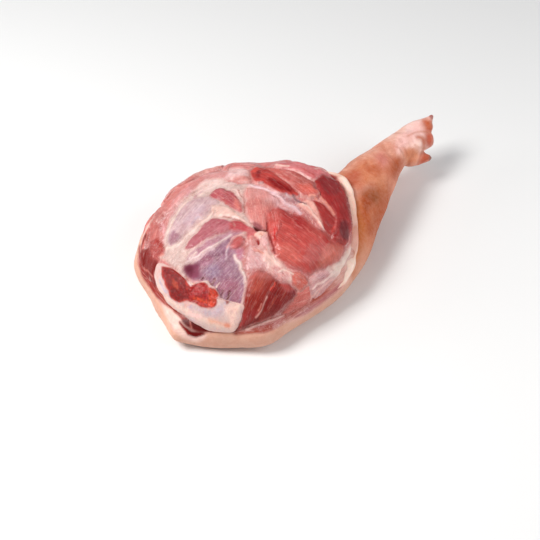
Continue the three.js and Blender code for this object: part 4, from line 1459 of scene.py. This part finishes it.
# Where the skin is cut round the elbow, from the far side to the near one: x, y, z and the fat's half width
ELBOW_EDGE = (
    (121, 89, 74, 1), (135, 76, 78, 1), (148, 59, 82, 1.2), (157, 40, 86, 1.6), (163, 20, 90, 2.2),
    (166, 6, 93, 3.2), (164, -10, 95, 5.2), (160, -24, 93, 4.6), (153, -38, 90, 3.8), (146, -50, 86, 3.4),
    (136, -63, 81, 3), (126, -76, 74, 2.6), (117, -88, 66, 2), (106, -97, 58, 3), (94, -106, 53, 3.4),
    (84, -111, 49, 2.8), (74, -114, 45, 2.2),
)
RIND_BEAD = ((60, -117, 43, 1.5), (44, -119, 41, 1))


@dataclass(frozen=True)
class Spot:
    """A soft patch of colour on the skin: a bar between two points, with its radius in millimetres."""

    start: Point3
    end: Point3
    radius: float
    colour: int
    strength: float = 1.0

    def share(self, places: Array) -> Array:
        """Share of the spot's colour at places, with a ragged edge."""
        start = np.array(self.start, dtype=float)
        step = np.array(self.end, dtype=float) - start
        offset = places - start
        part = np.clip(offset @ step / max(step @ step, 1e-6), 0.0, 1.0)
        reach = np.linalg.norm(offset - part[:, None] * step, axis=1) / self.radius
        return smoothstep(1.2, 0.4, reach + 0.3 * noise(places, 8.0, 41, 2)) * self.strength


@dataclass
class SkinBody:
    """Skin-covered body from the butt to the foot, lofted through sections, with its toes and dew claws."""

    name: str = "skin_and_shank"
    voxel: float = 1.75
    floor: float = 0.0
    butt_length: float = 101.0
    butt_round: float = 56.0
    butt_square: float = 2.2
    butt_middle: float = 32.0
    butt_top: float = 46.0
    butt_shear: float = 38.0
    butt_swing: float = 32.0
    butt_narrow: float = 0.72
    butt_turn: float = 4.0
    pastern_end: float = 12.0
    far_rise: float = 16.0
    rows: int = 200
    around: int = 144
    rind_top: float = 40.5
    # Dips and rises of the rind's edge: place, height and squared reach
    rind_waves: tuple[tuple[Point2, float, float], ...] = (
        ((-132, -46), -9.0, 900.0),
        ((-92, 114), 13.0, 1500.0),
    )
    beyond: tuple[Point2, ...] = ((72, -160), (-220, -160), (-220, 220), (110, 220))
    mark_wobble: float = 0.8
    wall_radius: float = 120.0
    smoothing: float = 0.6
    smoothing_rounds: int = 8
    knee_at: float = 268.0
    knee_reach: float = 34.0
    fold_length: float = 11.0
    finish: SkinFinish = SkinFinish("scalded_skin")
    cream: int = 0xDCA892
    tan: int = 0xD48460
    flank: int = 0xB6521C
    shank: int = 0xEAA088
    foot: int = 0xFFD8CE
    wall: int = 0x9E3C32
    pink_wall: int = 0xBE5C4E
    pale_wall: int = 0xEABCB0
    rind_fat: int = 0xE8BEAC
    claw_spots: tuple[Spot, ...] = (
        Spot((318, 40, 52), (330, 44, 46), 10, 0xC4543A, 0.95),
        Spot((332, 43, 48), (335, 45, 45), 4, 0x946C64, 0.9),
    )
    flesh_spots: tuple[Spot, ...] = (
        Spot((-128, 60, 44), (-136, 14, 48), 14, 0x962C24, 0.9),
        Spot((-112, 88, 50), (-124, 70, 46), 10, 0xB8544C, 0.8),
    )
    # Columns: x, y, heading, half width, lowest, highest, squareness, share of the far rise
    sections: Table = (
        (-48, 9, 0, 130, -10, 70, 2.5, 1),
        (12, 14, 0, 135, -12, 74, 2.6, 1),
        (66, 3, 4, 120, -12, 79, 2.6, 1),
        (112, -8, 14, 90, -8, 85, 2.5, 0.6),
        (152, -13, 24, 62, 0, 90, 2.3, 0.2),
        (194, -10, 24, 44, 14, 91, 2.1, 0),
        (230, 0, 18, 37.5, 28, 90, 2, 0),
        (264, 9, 11, 29, 35, 85, 2, 0),
        (292, 14, 2, 24.5, 40, 86, 2, 0),
        (318, 13, 0, 24, 44, 85, 2.1, 0),
        (340, 12, 0, 17, 50, 79, 2, 0),
    )
    toes: tuple[Table, ...] = (
        ((293, 19, 68, 14), (321, 24, 70, 13.1), (340, 22, 72, 13), (354, 17, 73, 11.6), (363, 11, 73, 9.6)),
        ((348, 23, 75, 8), (356, 20, 78, 7.6), (362, 18, 82, 5.4), (366, 18, 86, 3.4), (367.5, 18, 89, 2.4)),
        ((290, 7, 62, 14.6), (313, 7, 62, 14.9), (331, 7, 62, 14.2), (345, 5, 62, 13.2), (355, 2, 63, 11.4)),
        ((291, -3, 55, 9.4), (308, -8, 52, 10.2), (321, -11, 50, 9.2), (329, -15, 48, 6.3),
         (336, -18, 46, 2.6)),
        ((291, 27, 55, 9.4), (306, 33, 52, 10.2), (319, 38, 50, 9.2), (327, 42, 48, 6.3), (334, 45, 46, 2.6)),
    )
    toe_tip: float = 0.14

    def body_rows(self) -> Array:
        """Sections from the end of the butt to between the toes, one row of eight columns each.

        Over the butt the half width goes as the sine of a quarter turn, and the height as a squared ellipse.
        """
        table = np.array(self.sections, dtype=float)
        first = table[0]
        turn = np.linspace(0.0, math.pi / 2, self.rows // 4, endpoint=False)
        back = np.cos(turn)
        inward = np.clip(self.butt_length * (1.0 - back) / self.butt_round, 0.0, 1.0)
        full = np.sqrt(1.0 - (1.0 - inward) ** self.butt_square)
        top = first[5] + (self.butt_top - first[5]) * back
        butt = np.column_stack([
            first[0] - self.butt_length * back,
            first[1] + self.butt_swing * np.sin(turn) * back**2 - self.butt_shear * back**6,
            first[2] - self.butt_turn * back,
            first[3] * np.sin(turn) * (1.0 + (self.butt_narrow - 1.0) * back**2),
            self.butt_middle + (first[4] - self.butt_middle) * full,
            self.butt_middle + (top - self.butt_middle) * full,
            np.full(len(turn), first[6]),
            1.0 - back,
        ])
        body = through(table, np.linspace(0.0, len(table) - 1.0, self.rows))
        last = table[-1]
        turn = np.linspace(0.0, math.pi / 2, 9)[1:-1]
        middle = (last[4] + last[5]) / 2
        cap = np.tile(last, (len(turn), 1))
        cap[:, 0] += self.pastern_end * np.sin(turn)
        cap[:, 3] *= np.cos(turn)
        cap[:, 4] = middle + (last[4] - middle) * np.cos(turn)
        cap[:, 5] = middle + (last[5] - middle) * np.cos(turn)
        return np.vstack([butt[1:], body, cap])

    def body_points(self) -> Array:
        """Rings of the body: squared ellipses across each section's heading, kept above the floor."""
        rows = self.body_rows()
        x, y, course, half, low, high, square, far = (column[:, None] for column in rows.T)
        phi = circle(self.around)[None]
        cosine = np.sign(np.cos(phi)) * np.abs(np.cos(phi)) ** (2.0 / square)
        sine = np.sign(np.sin(phi)) * np.abs(np.sin(phi)) ** (2.0 / square)
        across = half * cosine
        middle = (high + low) / 2 + self.far_rise * np.maximum(np.cos(phi), 0.0) * far
        turned = np.radians(course)
        height = np.maximum(middle + (high - low) / 2 * sine, self.floor)
        return np.stack([x - np.sin(turned) * across, y + np.cos(turned) * across, height], axis=-1)

    def toe_points(self, toe: Table, rows: int = 40, around: int = 36) -> Array:
        """Rings of a toe: circles along a smooth line, shrinking to nothing at both ends."""
        part = (1.0 - np.cos(np.linspace(0.03, 0.97, rows) * math.pi)) / 2
        line = through(np.array(toe), part * (len(toe) - 1))
        radius = line[:, 3] * rounded_ends(part, self.toe_tip)
        side, up = axes_across(line[:, :3])
        phi = circle(around)
        ring = side[:, None] * np.cos(phi)[None, :, None] + up[:, None] * np.sin(phi)[None, :, None]
        return line[:, None, :3] + ring * radius[:, None, None]

    def wrinkles(self, places: Array) -> Array:
        """How far the skin stands in or out: lumps, folds across the knee and tendons along the shank."""
        lumps = noise(places, 34.0, 31, 3)
        on_shank = smoothstep(150.0, 200.0, places[:, 0])
        fold_line = places[:, 0] + 5.0 * noise(places, 40.0, 32, 2)
        knee = np.exp(-((places[:, 0] - self.knee_at) / self.knee_reach) ** 2)
        patchy = np.clip(0.4 + noise(places, 26.0, 35, 2), 0.0, 1.0)
        folds = np.sin(fold_line * 2.0 * np.pi / self.fold_length) * knee * patchy * 0.3
        fine = noise(places * np.array([1.0, 0.35, 0.35]), 3.2, 33, 2) * 0.28
        tendons = noise(places * np.array([0.18, 1.0, 1.0]), 13.0, 34, 1) * 1.1 * on_shank
        return lumps + folds + fine + tendons

    def toned(self, places: Array, normals: Array) -> dict[str, Array]:
        """Paint of the skin.

        Args:
            places: points in millimetres.
            normals: their normals.

        Returns:
            The layers of the finish.
        """
        x, y, z = places.T
        tint = np.tile(srgb(self.cream), (len(x), 1))
        tint = tinted(tint, self.tan, smoothstep(70.0, 130.0, x + 0.2 * y))
        tint = tinted(tint, self.flank, smoothstep(130.0, 180.0, x) * smoothstep(84.0, 60.0, z))
        tint = tinted(tint, self.shank, smoothstep(206.0, 250.0, x))
        tint = tinted(tint, self.foot, smoothstep(262.0, 300.0, x) * smoothstep(44.0, 66.0, z))
        for spot in self.claw_spots:
            tint = tinted(tint, spot.colour, spot.share(places))
        flush = 0.2 + 0.35 * smoothstep(140.0, 190.0, x) - 0.25 * smoothstep(280.0, 320.0, x)
        cut, flesh = self.cut_layers(places)
        tint = blend(tint, flesh, cut)
        seen = SIGHT.pixels(places + self.mark_wobble * jitter(places, 5.0, (71, 72, 73), 2))
        facing = normals @ -SIGHT.axes()[2]
        for mark in SKIN_MARKS:
            share = mark.share(seen, facing)
            tint = tinted(tint, mark.colour, share)
            cut = cut if mark.cut is None else blend(cut, np.full(len(cut), mark.cut), share)
        shade = 1.0 + 0.06 * noise(places, 26.0, 43, 3)
        along = np.arctan2(y - FACE.middle[1], x - FACE.middle[0]) * self.wall_radius
        count = len(places)
        bright = smoothstep(0.2, 0.4, tint[:, 0])
        return {
            "tint": np.clip(tint * shade[:, None], 0.0, 1.0),
            "flush": flush * (1.0 - cut),
            "cut": cut,
            "grain": np.column_stack([along, z, np.zeros(count)]),
            "streak": np.full(count, 0.6),
            "thread": 0.5 * bright,
            "veil": 0.35 * smoothstep(0.0, 0.5, noise(places, 30.0, 47, 2)) * bright,
        }

    def cut_layers(self, places: Array) -> tuple[Array, Array]:
        """Where the body is bare flesh and of what colour: above the rind's edge and inside the elbow's edge.

        Args:
            places: points in millimetres.

        Returns:
            The share of flesh and its colour.
        """
        edge = smooth_line(tuple(point[:2] for point in ELBOW_EDGE), False)
        ring = np.vstack([edge, self.beyond])
        inside = -line_distance(places[:, :2], ring, True, 12.0)
        height = places[:, 2] + 3.5 * noise(places, 26.0, 44, 3)
        top = self.rind_top
        for middle, rise, reach in self.rind_waves:
            top = top + rise * np.exp(-((places[:, :2] - np.array(middle)) ** 2).sum(axis=1) / reach)
        above = height - top
        cut = smoothstep(-0.9, 0.9, above) * smoothstep(-1.0, 1.0, inside + noise(places, 6.0, 45, 2))
        flesh = np.tile(srgb(self.wall), (len(places), 1))
        flesh = tinted(flesh, self.pink_wall, smoothstep(-70.0, 10.0, places[:, 0]))
        flesh = tinted(flesh, self.pale_wall, smoothstep(20.0, 90.0, places[:, 0]))
        for spot in self.flesh_spots:
            flesh = tinted(flesh, spot.colour, spot.share(places))
        fat = smoothstep(4.5, 1.0, above) * (0.5 + 0.5 * noise(places, 18.0, 46, 2))
        return cut, tinted(flesh, self.rind_fat, np.clip(fat, 0.0, 0.8))

    def build(self, effects: Effects) -> Object:
        """Makes the skin: the loft and the toes are joined at the size of a voxel and smoothed.

        Args:
            effects: the shared shader groups.

        Returns:
            The piece.
        """
        points, faces = capped_rings(self.body_points())
        all_points = [points]
        all_faces = list(faces)
        for toe in self.toes:
            offset = sum(len(part) for part in all_points)
            toe_points, toe_faces = capped_rings(self.toe_points(toe))
            all_points.append(toe_points)
            all_faces += [tuple(corner + offset for corner in face) for face in toe_faces]
        piece = make_piece(self.name, np.vstack(all_points), all_faces)
        remesh = piece.modifiers.new("join", "REMESH")
        remesh.mode = "VOXEL"
        remesh.voxel_size = self.voxel * MM
        smooth = piece.modifiers.new("soften", "SMOOTH")
        smooth.factor = self.smoothing
        smooth.iterations = self.smoothing_rounds
        apply_modifiers(piece)
        places = places_of(piece)
        normals = normals_of(piece)
        free = smoothstep(0.3, 4.0, places[:, 2])
        facing = normals @ -SIGHT.axes()[2]
        seen = SIGHT.pixels(places)
        dents = sum(mark.dent * mark.share(seen, facing) for mark in SKIN_MARKS if mark.dent > 0.0)
        moved = places + normals * ((self.wrinkles(places) + bulged(places) - dents) * free)[:, None]
        moved[:, 2] = np.maximum(moved[:, 2], self.floor)
        move_points(piece, moved)
        paint(piece, **self.toned(moved, normals))
        piece.data.materials.append(self.finish.material(effects))
        return piece


# Fat edge round the elbow


@dataclass
class FatEdge:
    """White fat where the skin is cut round the elbow: a lumpy ridge with a skirt of flesh inside it.

    On the near side the skirt is wider and slopes up to the cut face.
    """

    name: str = "fat_edge"
    high: float = 1.15
    skirt: float = 2.6
    low_skirt: float = 5.0
    slope: float = 0.55
    taper: float = 0.08
    wander: float = 1.4
    lumpy: float = 0.22
    white: int = 0xFCE0D0
    cream: int = 0xEEB49C
    salmon: int = 0xDE806A
    inside: int = 0xBA504A
    rows: int = 320
    around: int = 28
    finish: FatFinish = FatFinish("white_fat")

    def build(self, effects: Effects) -> Object:
        """Makes the ridge: lumpy ellipses along the edge, rounded off at both ends.

        Args:
            effects: the shared shader groups.

        Returns:
            The piece.
        """
        part = np.linspace(0.004, 0.996, self.rows)
        points = np.array(ELBOW_EDGE + RIND_BEAD, dtype=float)
        rows = through(points, part * (len(points) - 1))
        line = rows[:, :3]
        line = line + self.wander * jitter(line, 14.0, (53, 54, 55), 2)
        side, up = axes_across(line)
        full = rows[:, 3] * rounded_ends(part, self.taper)
        phi = circle(self.around)
        flat = np.column_stack([np.repeat(line, self.around, axis=0)[:, :2], np.tile(phi * 6.0, self.rows)])
        lumps = 1.0 + self.lumpy * noise(flat, 13.0, 51, 3).reshape(self.rows, self.around)
        near = smoothstep(-24.0, -50.0, line[:, 1])[:, None]
        skirt = self.skirt + (self.low_skirt - self.skirt) * near
        wide = full[:, None] * np.cos(phi)[None] * np.where(np.cos(phi) < 0.0, skirt, 1.0) * lumps
        high = full[:, None] * np.sin(phi)[None] * lumps * self.high
        high = high + self.slope * near * np.maximum(-wide, 0.0)
        rings = line[:, None] + side[:, None] * wide[..., None] + up[:, None] * high[..., None]
        points, faces = capped_rings(rings)
        piece = make_piece(self.name, points, faces)
        warm = smoothstep(-0.2, 0.6, noise(points, 20.0, 52, 2))
        tint = tinted(np.tile(srgb(self.white), (len(points), 1)), self.cream, 0.7 * warm)
        y = points[:, 1]
        tint = tinted(tint, self.salmon, 0.6 * smoothstep(-58.0, -74.0, y) * smoothstep(-104.0, -92.0, y))
        inner = smoothstep(-0.3, -0.75, np.append(np.tile(np.cos(phi), self.rows), [0.0, 0.0]))
        inner = inner * smoothstep(-94.0, -74.0, y)
        tint = tinted(tint, self.inside, inner)
        paint(piece, tint=tint, raw=inner)
        piece.data.materials.append(self.finish.material(effects))
        return piece


# Cut end of the blade bone


@dataclass
class BladeBone:
    """Cut end of the blade bone: red marrow in a rim of cartilage, as a plate that follows the dome."""

    name: str = "blade_bone_end"
    middle: Point2 = (-141.0, -38.0)
    border: tuple[Point2, ...] = (
        (-143, 49), (-149, 54), (-158, 52), (-169, 46), (-179, 24), (-184, -2), (-181, -24), (-177, -43),
        (-172, -65), (-166, -79), (-158, -95), (-146, -110), (-136, -120), (-126, -122), (-113, -119),
        (-99, -112), (-93, -105), (-97, -97), (-106, -85), (-110, -72), (-107, -56), (-106, -41),
        (-113, -33), (-124, -27), (-131, -11), (-132, 4), (-134, 22), (-138, 38),
    )
    rise: float = 5.5
    depth: float = 9.0
    ragged: float = 2.0
    wobble: float = 1.6
    square: float = 0.42
    top_rows: int = 100
    rim_rows: int = 24
    below_rows: int = 12
    around: int = 260
    gristle: int = 0xD0B2AC
    violet: int = 0xBAA4B0
    blush: int = 0xE09E90
    edge_pink: int = 0xDEA498
    finish: FatFinish = FatFinish("bone_and_cartilage", warm=srgb(0xF4BEB0), share=0.15, lump=6.0,
                                  veins=0.5)
    marrows: tuple[Patch, ...] = (
        thread("cream lower rim", "157,284 164,296 174,305 186,312 200,318 216,325 230,330", 0xE2C0B2, 4.0,
               soft=5, lift=7),
        thread("lavender rim", "158,281 161,287 165,293", 0xB4A8BE, 1.6, soft=3, lift=7),
        stain("lavender foot", "196,308 204,311 212,309 222,304 226,310 220,316 206,316", 0xBCA8B6, 6, 0.7,
              lift=7),
        stain("cream corner", "226,308 236,304 240,306 238,320 233,330 228,322", 0xF0C8BA, 7, lift=7),
        thread("orange fringe", "209,321 216,322 224,325 229,327", 0xEEA88A, 2.4, soft=4, lift=7, cover=0.8),
        thread("orange spot", "225,326 228,327", 0xE48464, 2.2, soft=2.5, lift=7),
        thread("pale pink", "190,313 194,316 200,317", 0xF0C4C0, 2.4, soft=3, lift=7),
        Patch("orange rim", "161,265.5 172,268 181,274 186,281 190,286 196,282 204,282 210,287 216,290 "
              "218,298 215,306 208,308 200,307 194,303 186,301 178,303 171,299 166,288 161,276 160,269",
              0xA42A1E, -0.3, 4, soft=2, lift=7),
        Patch("first marrow", "162,266.5 171,269 179,274.5 184,281 186,289 189,294 190.5,301 185,299 "
              "178,301.5 172,298 168,289 163.5,277 161.5,270", 0x7E0E0C, -0.5, 3, soft=1.6, lift=7),
        Patch("second marrow", "189,289 195,283 202,282.5 207,287 207.5,293 207,300 207,305 200,304 195,302 "
              "190,301 188,295", 0x9C1618, -0.4, 3, soft=1.6, lift=7),
        Patch("third marrow", "208.5,292 212,289.5 216,294 215.5,301 212,306 208.5,305 207.8,299", 0xBC341A,
              -0.4, 3, soft=1.4, lift=7),
        Patch("dark marrow", "174,284 179,290 184,298 178,297 172,290", 0x740A08, -0.01, 3, soft=3, lift=7),
        Patch("marrow brown", "171,279 176,282 177,289 172,286", 0x98321E, -0.01, 3, soft=2.5, lift=7),
        thread("marrows join", "187,287 188.5,293 189,300", 0x921C18, 1.8, -0.01, 3, 1.6, lift=7),
        thread("orange marrow", "193,298 200,300 206,302", 0xC4442A, 2.2, -0.01, 3, 3, lift=7),
        stain("rim first gap", "208,277 213,280 212.5,286 209.5,284", 0x7E4254, 1.4, lift=5),
        stain("rim second gap", "217,283 221,287 222.5,296 219.5,298 218,291", 0x763E56, 1.4, lift=5),
        stain("rim third gap", "225,289 231,293 231,301 227,304 225.5,297", 0x74161E, 1.4, lift=5),
    )

    def radius(self, angle: Array) -> Array:
        """Distance from the middle to the border at each angle."""
        line = smooth_line(self.border, True) - np.array(self.middle)
        turn = np.arctan2(line[:, 1], line[:, 0])
        order = np.argsort(turn)
        return np.interp(angle, turn[order], np.hypot(line[:, 0], line[:, 1])[order], period=2.0 * np.pi)

    def build(self, effects: Effects) -> Object:
        """Makes the plate: from the pole above to the one below, squared so that its edge is steep.

        Args:
            effects: the shared shader groups.

        Returns:
            The piece.
        """
        top = np.arcsin(np.linspace(0.01, 0.96, self.top_rows) ** (1.0 / self.square))
        below = math.pi - np.arcsin(np.linspace(0.96, 0.05, self.below_rows) ** (1.0 / self.square))
        turn = np.concatenate([top, np.linspace(top[-1], below[0], self.rim_rows)[1:-1], below])
        angle = circle(self.around)
        edge = np.sin(turn) ** self.square
        cosine = np.cos(turn)
        tall = np.sign(cosine) * np.abs(cosine) ** self.square
        lift = (self.rise - self.depth) / 2 + (self.rise + self.depth) / 2 * tall
        spokes = heading(angle)
        radius = self.radius(angle) + self.ragged * noise(spokes * 60.0, 9.0, 67, 3)
        reach = (edge[:, None] * radius[None])[..., None]
        places = (np.array(self.middle) + spokes[None] * reach).reshape(-1, 2)
        lifts = np.repeat(lift, self.around)
        bent = places + self.wobble * jitter(places, 9.0, (61, 62), 3)
        above = smoothstep(0.0, 3.0, lifts)
        tint = np.tile(srgb(self.gristle), (len(places), 1))
        tint = tinted(tint, self.violet, smoothstep(0.05, 0.6, noise(places, 12.0, 63, 4)))
        tint = tinted(tint, self.blush, 0.7 * smoothstep(0.2, 0.7, noise(places, 9.0, 68, 3)))
        rim = smoothstep(0.9, 1.0, np.repeat(edge, self.around)) * above
        tint = tinted(tint, self.edge_pink, 0.5 * rim)
        sink = np.zeros(len(places))
        red = np.zeros(len(places))
        for marrow in self.marrows:
            distance = marrow.distance(bent)
            share = smoothstep(marrow.soft, -marrow.soft, distance) * marrow.cover
            tint = tinted(tint, marrow.colour, share * above)
            inward = np.clip(-distance / marrow.edge, 0.0, 1.0)
            sink += marrow.swell * inward * above
            red = np.maximum(red, share * above) if marrow.swell < 0.0 else red
        crumbs = noise(places, 2.6, 64, 3)
        shade = 1.0 + red * 0.5 * crumbs + 0.12 * noise(places, 5.0, 65, 3)
        tint = np.clip(tint * shade[:, None], 0.0, 1.0)
        lifts = lifts + above * (sink + 1.4 * noise(places, 12.0, 66, 4) + red * 0.12 * crumbs)
        rings = FACE.put(places, lifts).reshape(len(turn), self.around, 3)[:, ::-1]
        points, faces = capped_rings(rings)
        piece = make_piece(self.name, points, faces)
        rows = np.column_stack([tint, red]).reshape(len(turn), self.around, 4)[:, ::-1]
        painted = np.vstack([rows.reshape(-1, 4), rows[0].mean(axis=0), rows[-1].mean(axis=0)])
        paint(piece, tint=painted[:, :3], raw=painted[:, 3])
        piece.data.materials.append(self.finish.material(effects))
        return piece


# Studio


@dataclass
class Studio:
    """Pale floor, soft light and the camera of the photograph."""

    sight: Sight = SIGHT
    lit: Point3 = (0.05, 0.0, 0.06)
    floor_side: float = 6.0
    floor_colour: Colour = (0.86, 0.86, 0.86)

    def camera(self) -> None:
        """Camera with the photograph's view."""
        data = bpy.data.cameras.new("photo_camera")
        data.lens = self.sight.lens
        data.sensor_width = self.sight.sensor
        data.clip_end = 30.0
        camera = add_object("photo_camera", data)
        right, up, ahead = self.sight.axes()
        turned = Matrix((right, up, -ahead)).transposed().to_4x4()
        camera.matrix_world = Matrix.Translation(Vector(self.sight.place() * MM)) @ turned
        bpy.context.scene.camera = camera

    def light(self, name: str, place: Point3, size: float, power: float, colour: Colour) -> None:
        """Square soft light that points at the middle of the object, with places and size in metres."""
        data = bpy.data.lights.new(name, "AREA")
        data.size = size
        data.energy = power
        data.color = colour
        lamp = add_object(name, data)
        lamp.location = place
        lamp.rotation_euler = (Vector(self.lit) - Vector(place)).to_track_quat("-Z", "Y").to_euler()

    def floor(self) -> None:
        """Plain pale floor."""
        half = self.floor_side / 2 / MM
        points = np.array([(-half, -half, 0.0), (half, -half, 0.0), (half, half, 0.0), (-half, half, 0.0)])
        floor = make_piece("floor", points, [(0, 1, 2, 3)])
        material = bpy.data.materials.new("pale_floor")
        material.use_nodes = True
        shader = material.node_tree.nodes["Principled BSDF"]
        shader.inputs["Base Color"].default_value = (*self.floor_colour, 1.0)
        shader.inputs["Roughness"].default_value = 0.9
        floor.data.materials.append(material)

    def build(self) -> None:
        """Makes floor, lights, sky and camera."""
        self.floor()
        self.light("key", (-0.9, 0.35, 1.5), 0.7, 28.0, (1.0, 0.985, 0.96))
        self.light("fill", (0.9, -1.2, 1.1), 1.2, 13.0, (1.0, 0.99, 0.98))
        self.light("back", (-1.3, 1.3, 0.8), 0.9, 7.0, (0.97, 0.985, 1.0))
        world = bpy.data.worlds.new("soft_white")
        world.use_nodes = True
        world.node_tree.nodes["Background"].inputs["Color"].default_value = (0.95, 0.97, 1.0, 1.0)
        world.node_tree.nodes["Background"].inputs["Strength"].default_value = 0.3
        bpy.context.scene.world = world
        bpy.context.scene.view_settings.view_transform = "Standard"
        self.camera()


def main() -> None:
    """Builds the pork shoulder and its studio."""
    logging.basicConfig(level=logging.INFO, format="%(message)s")
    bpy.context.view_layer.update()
    effects = Effects()
    bone = BladeBone()
    face = CutFace(bone_outline=bone.border)
    place_piece(face.build(effects), Slot.FLESH, FLESH_NODE)
    place_piece(SkinBody().build(effects), Slot.FLESH, FLESH_NODE)
    place_piece(FatEdge().build(effects), Slot.FLESH, FLESH_NODE)
    place_piece(bone.build(effects), Slot.BONE, BONE_NODE)
    Studio().build()


if __name__ == "__main__":
    main()
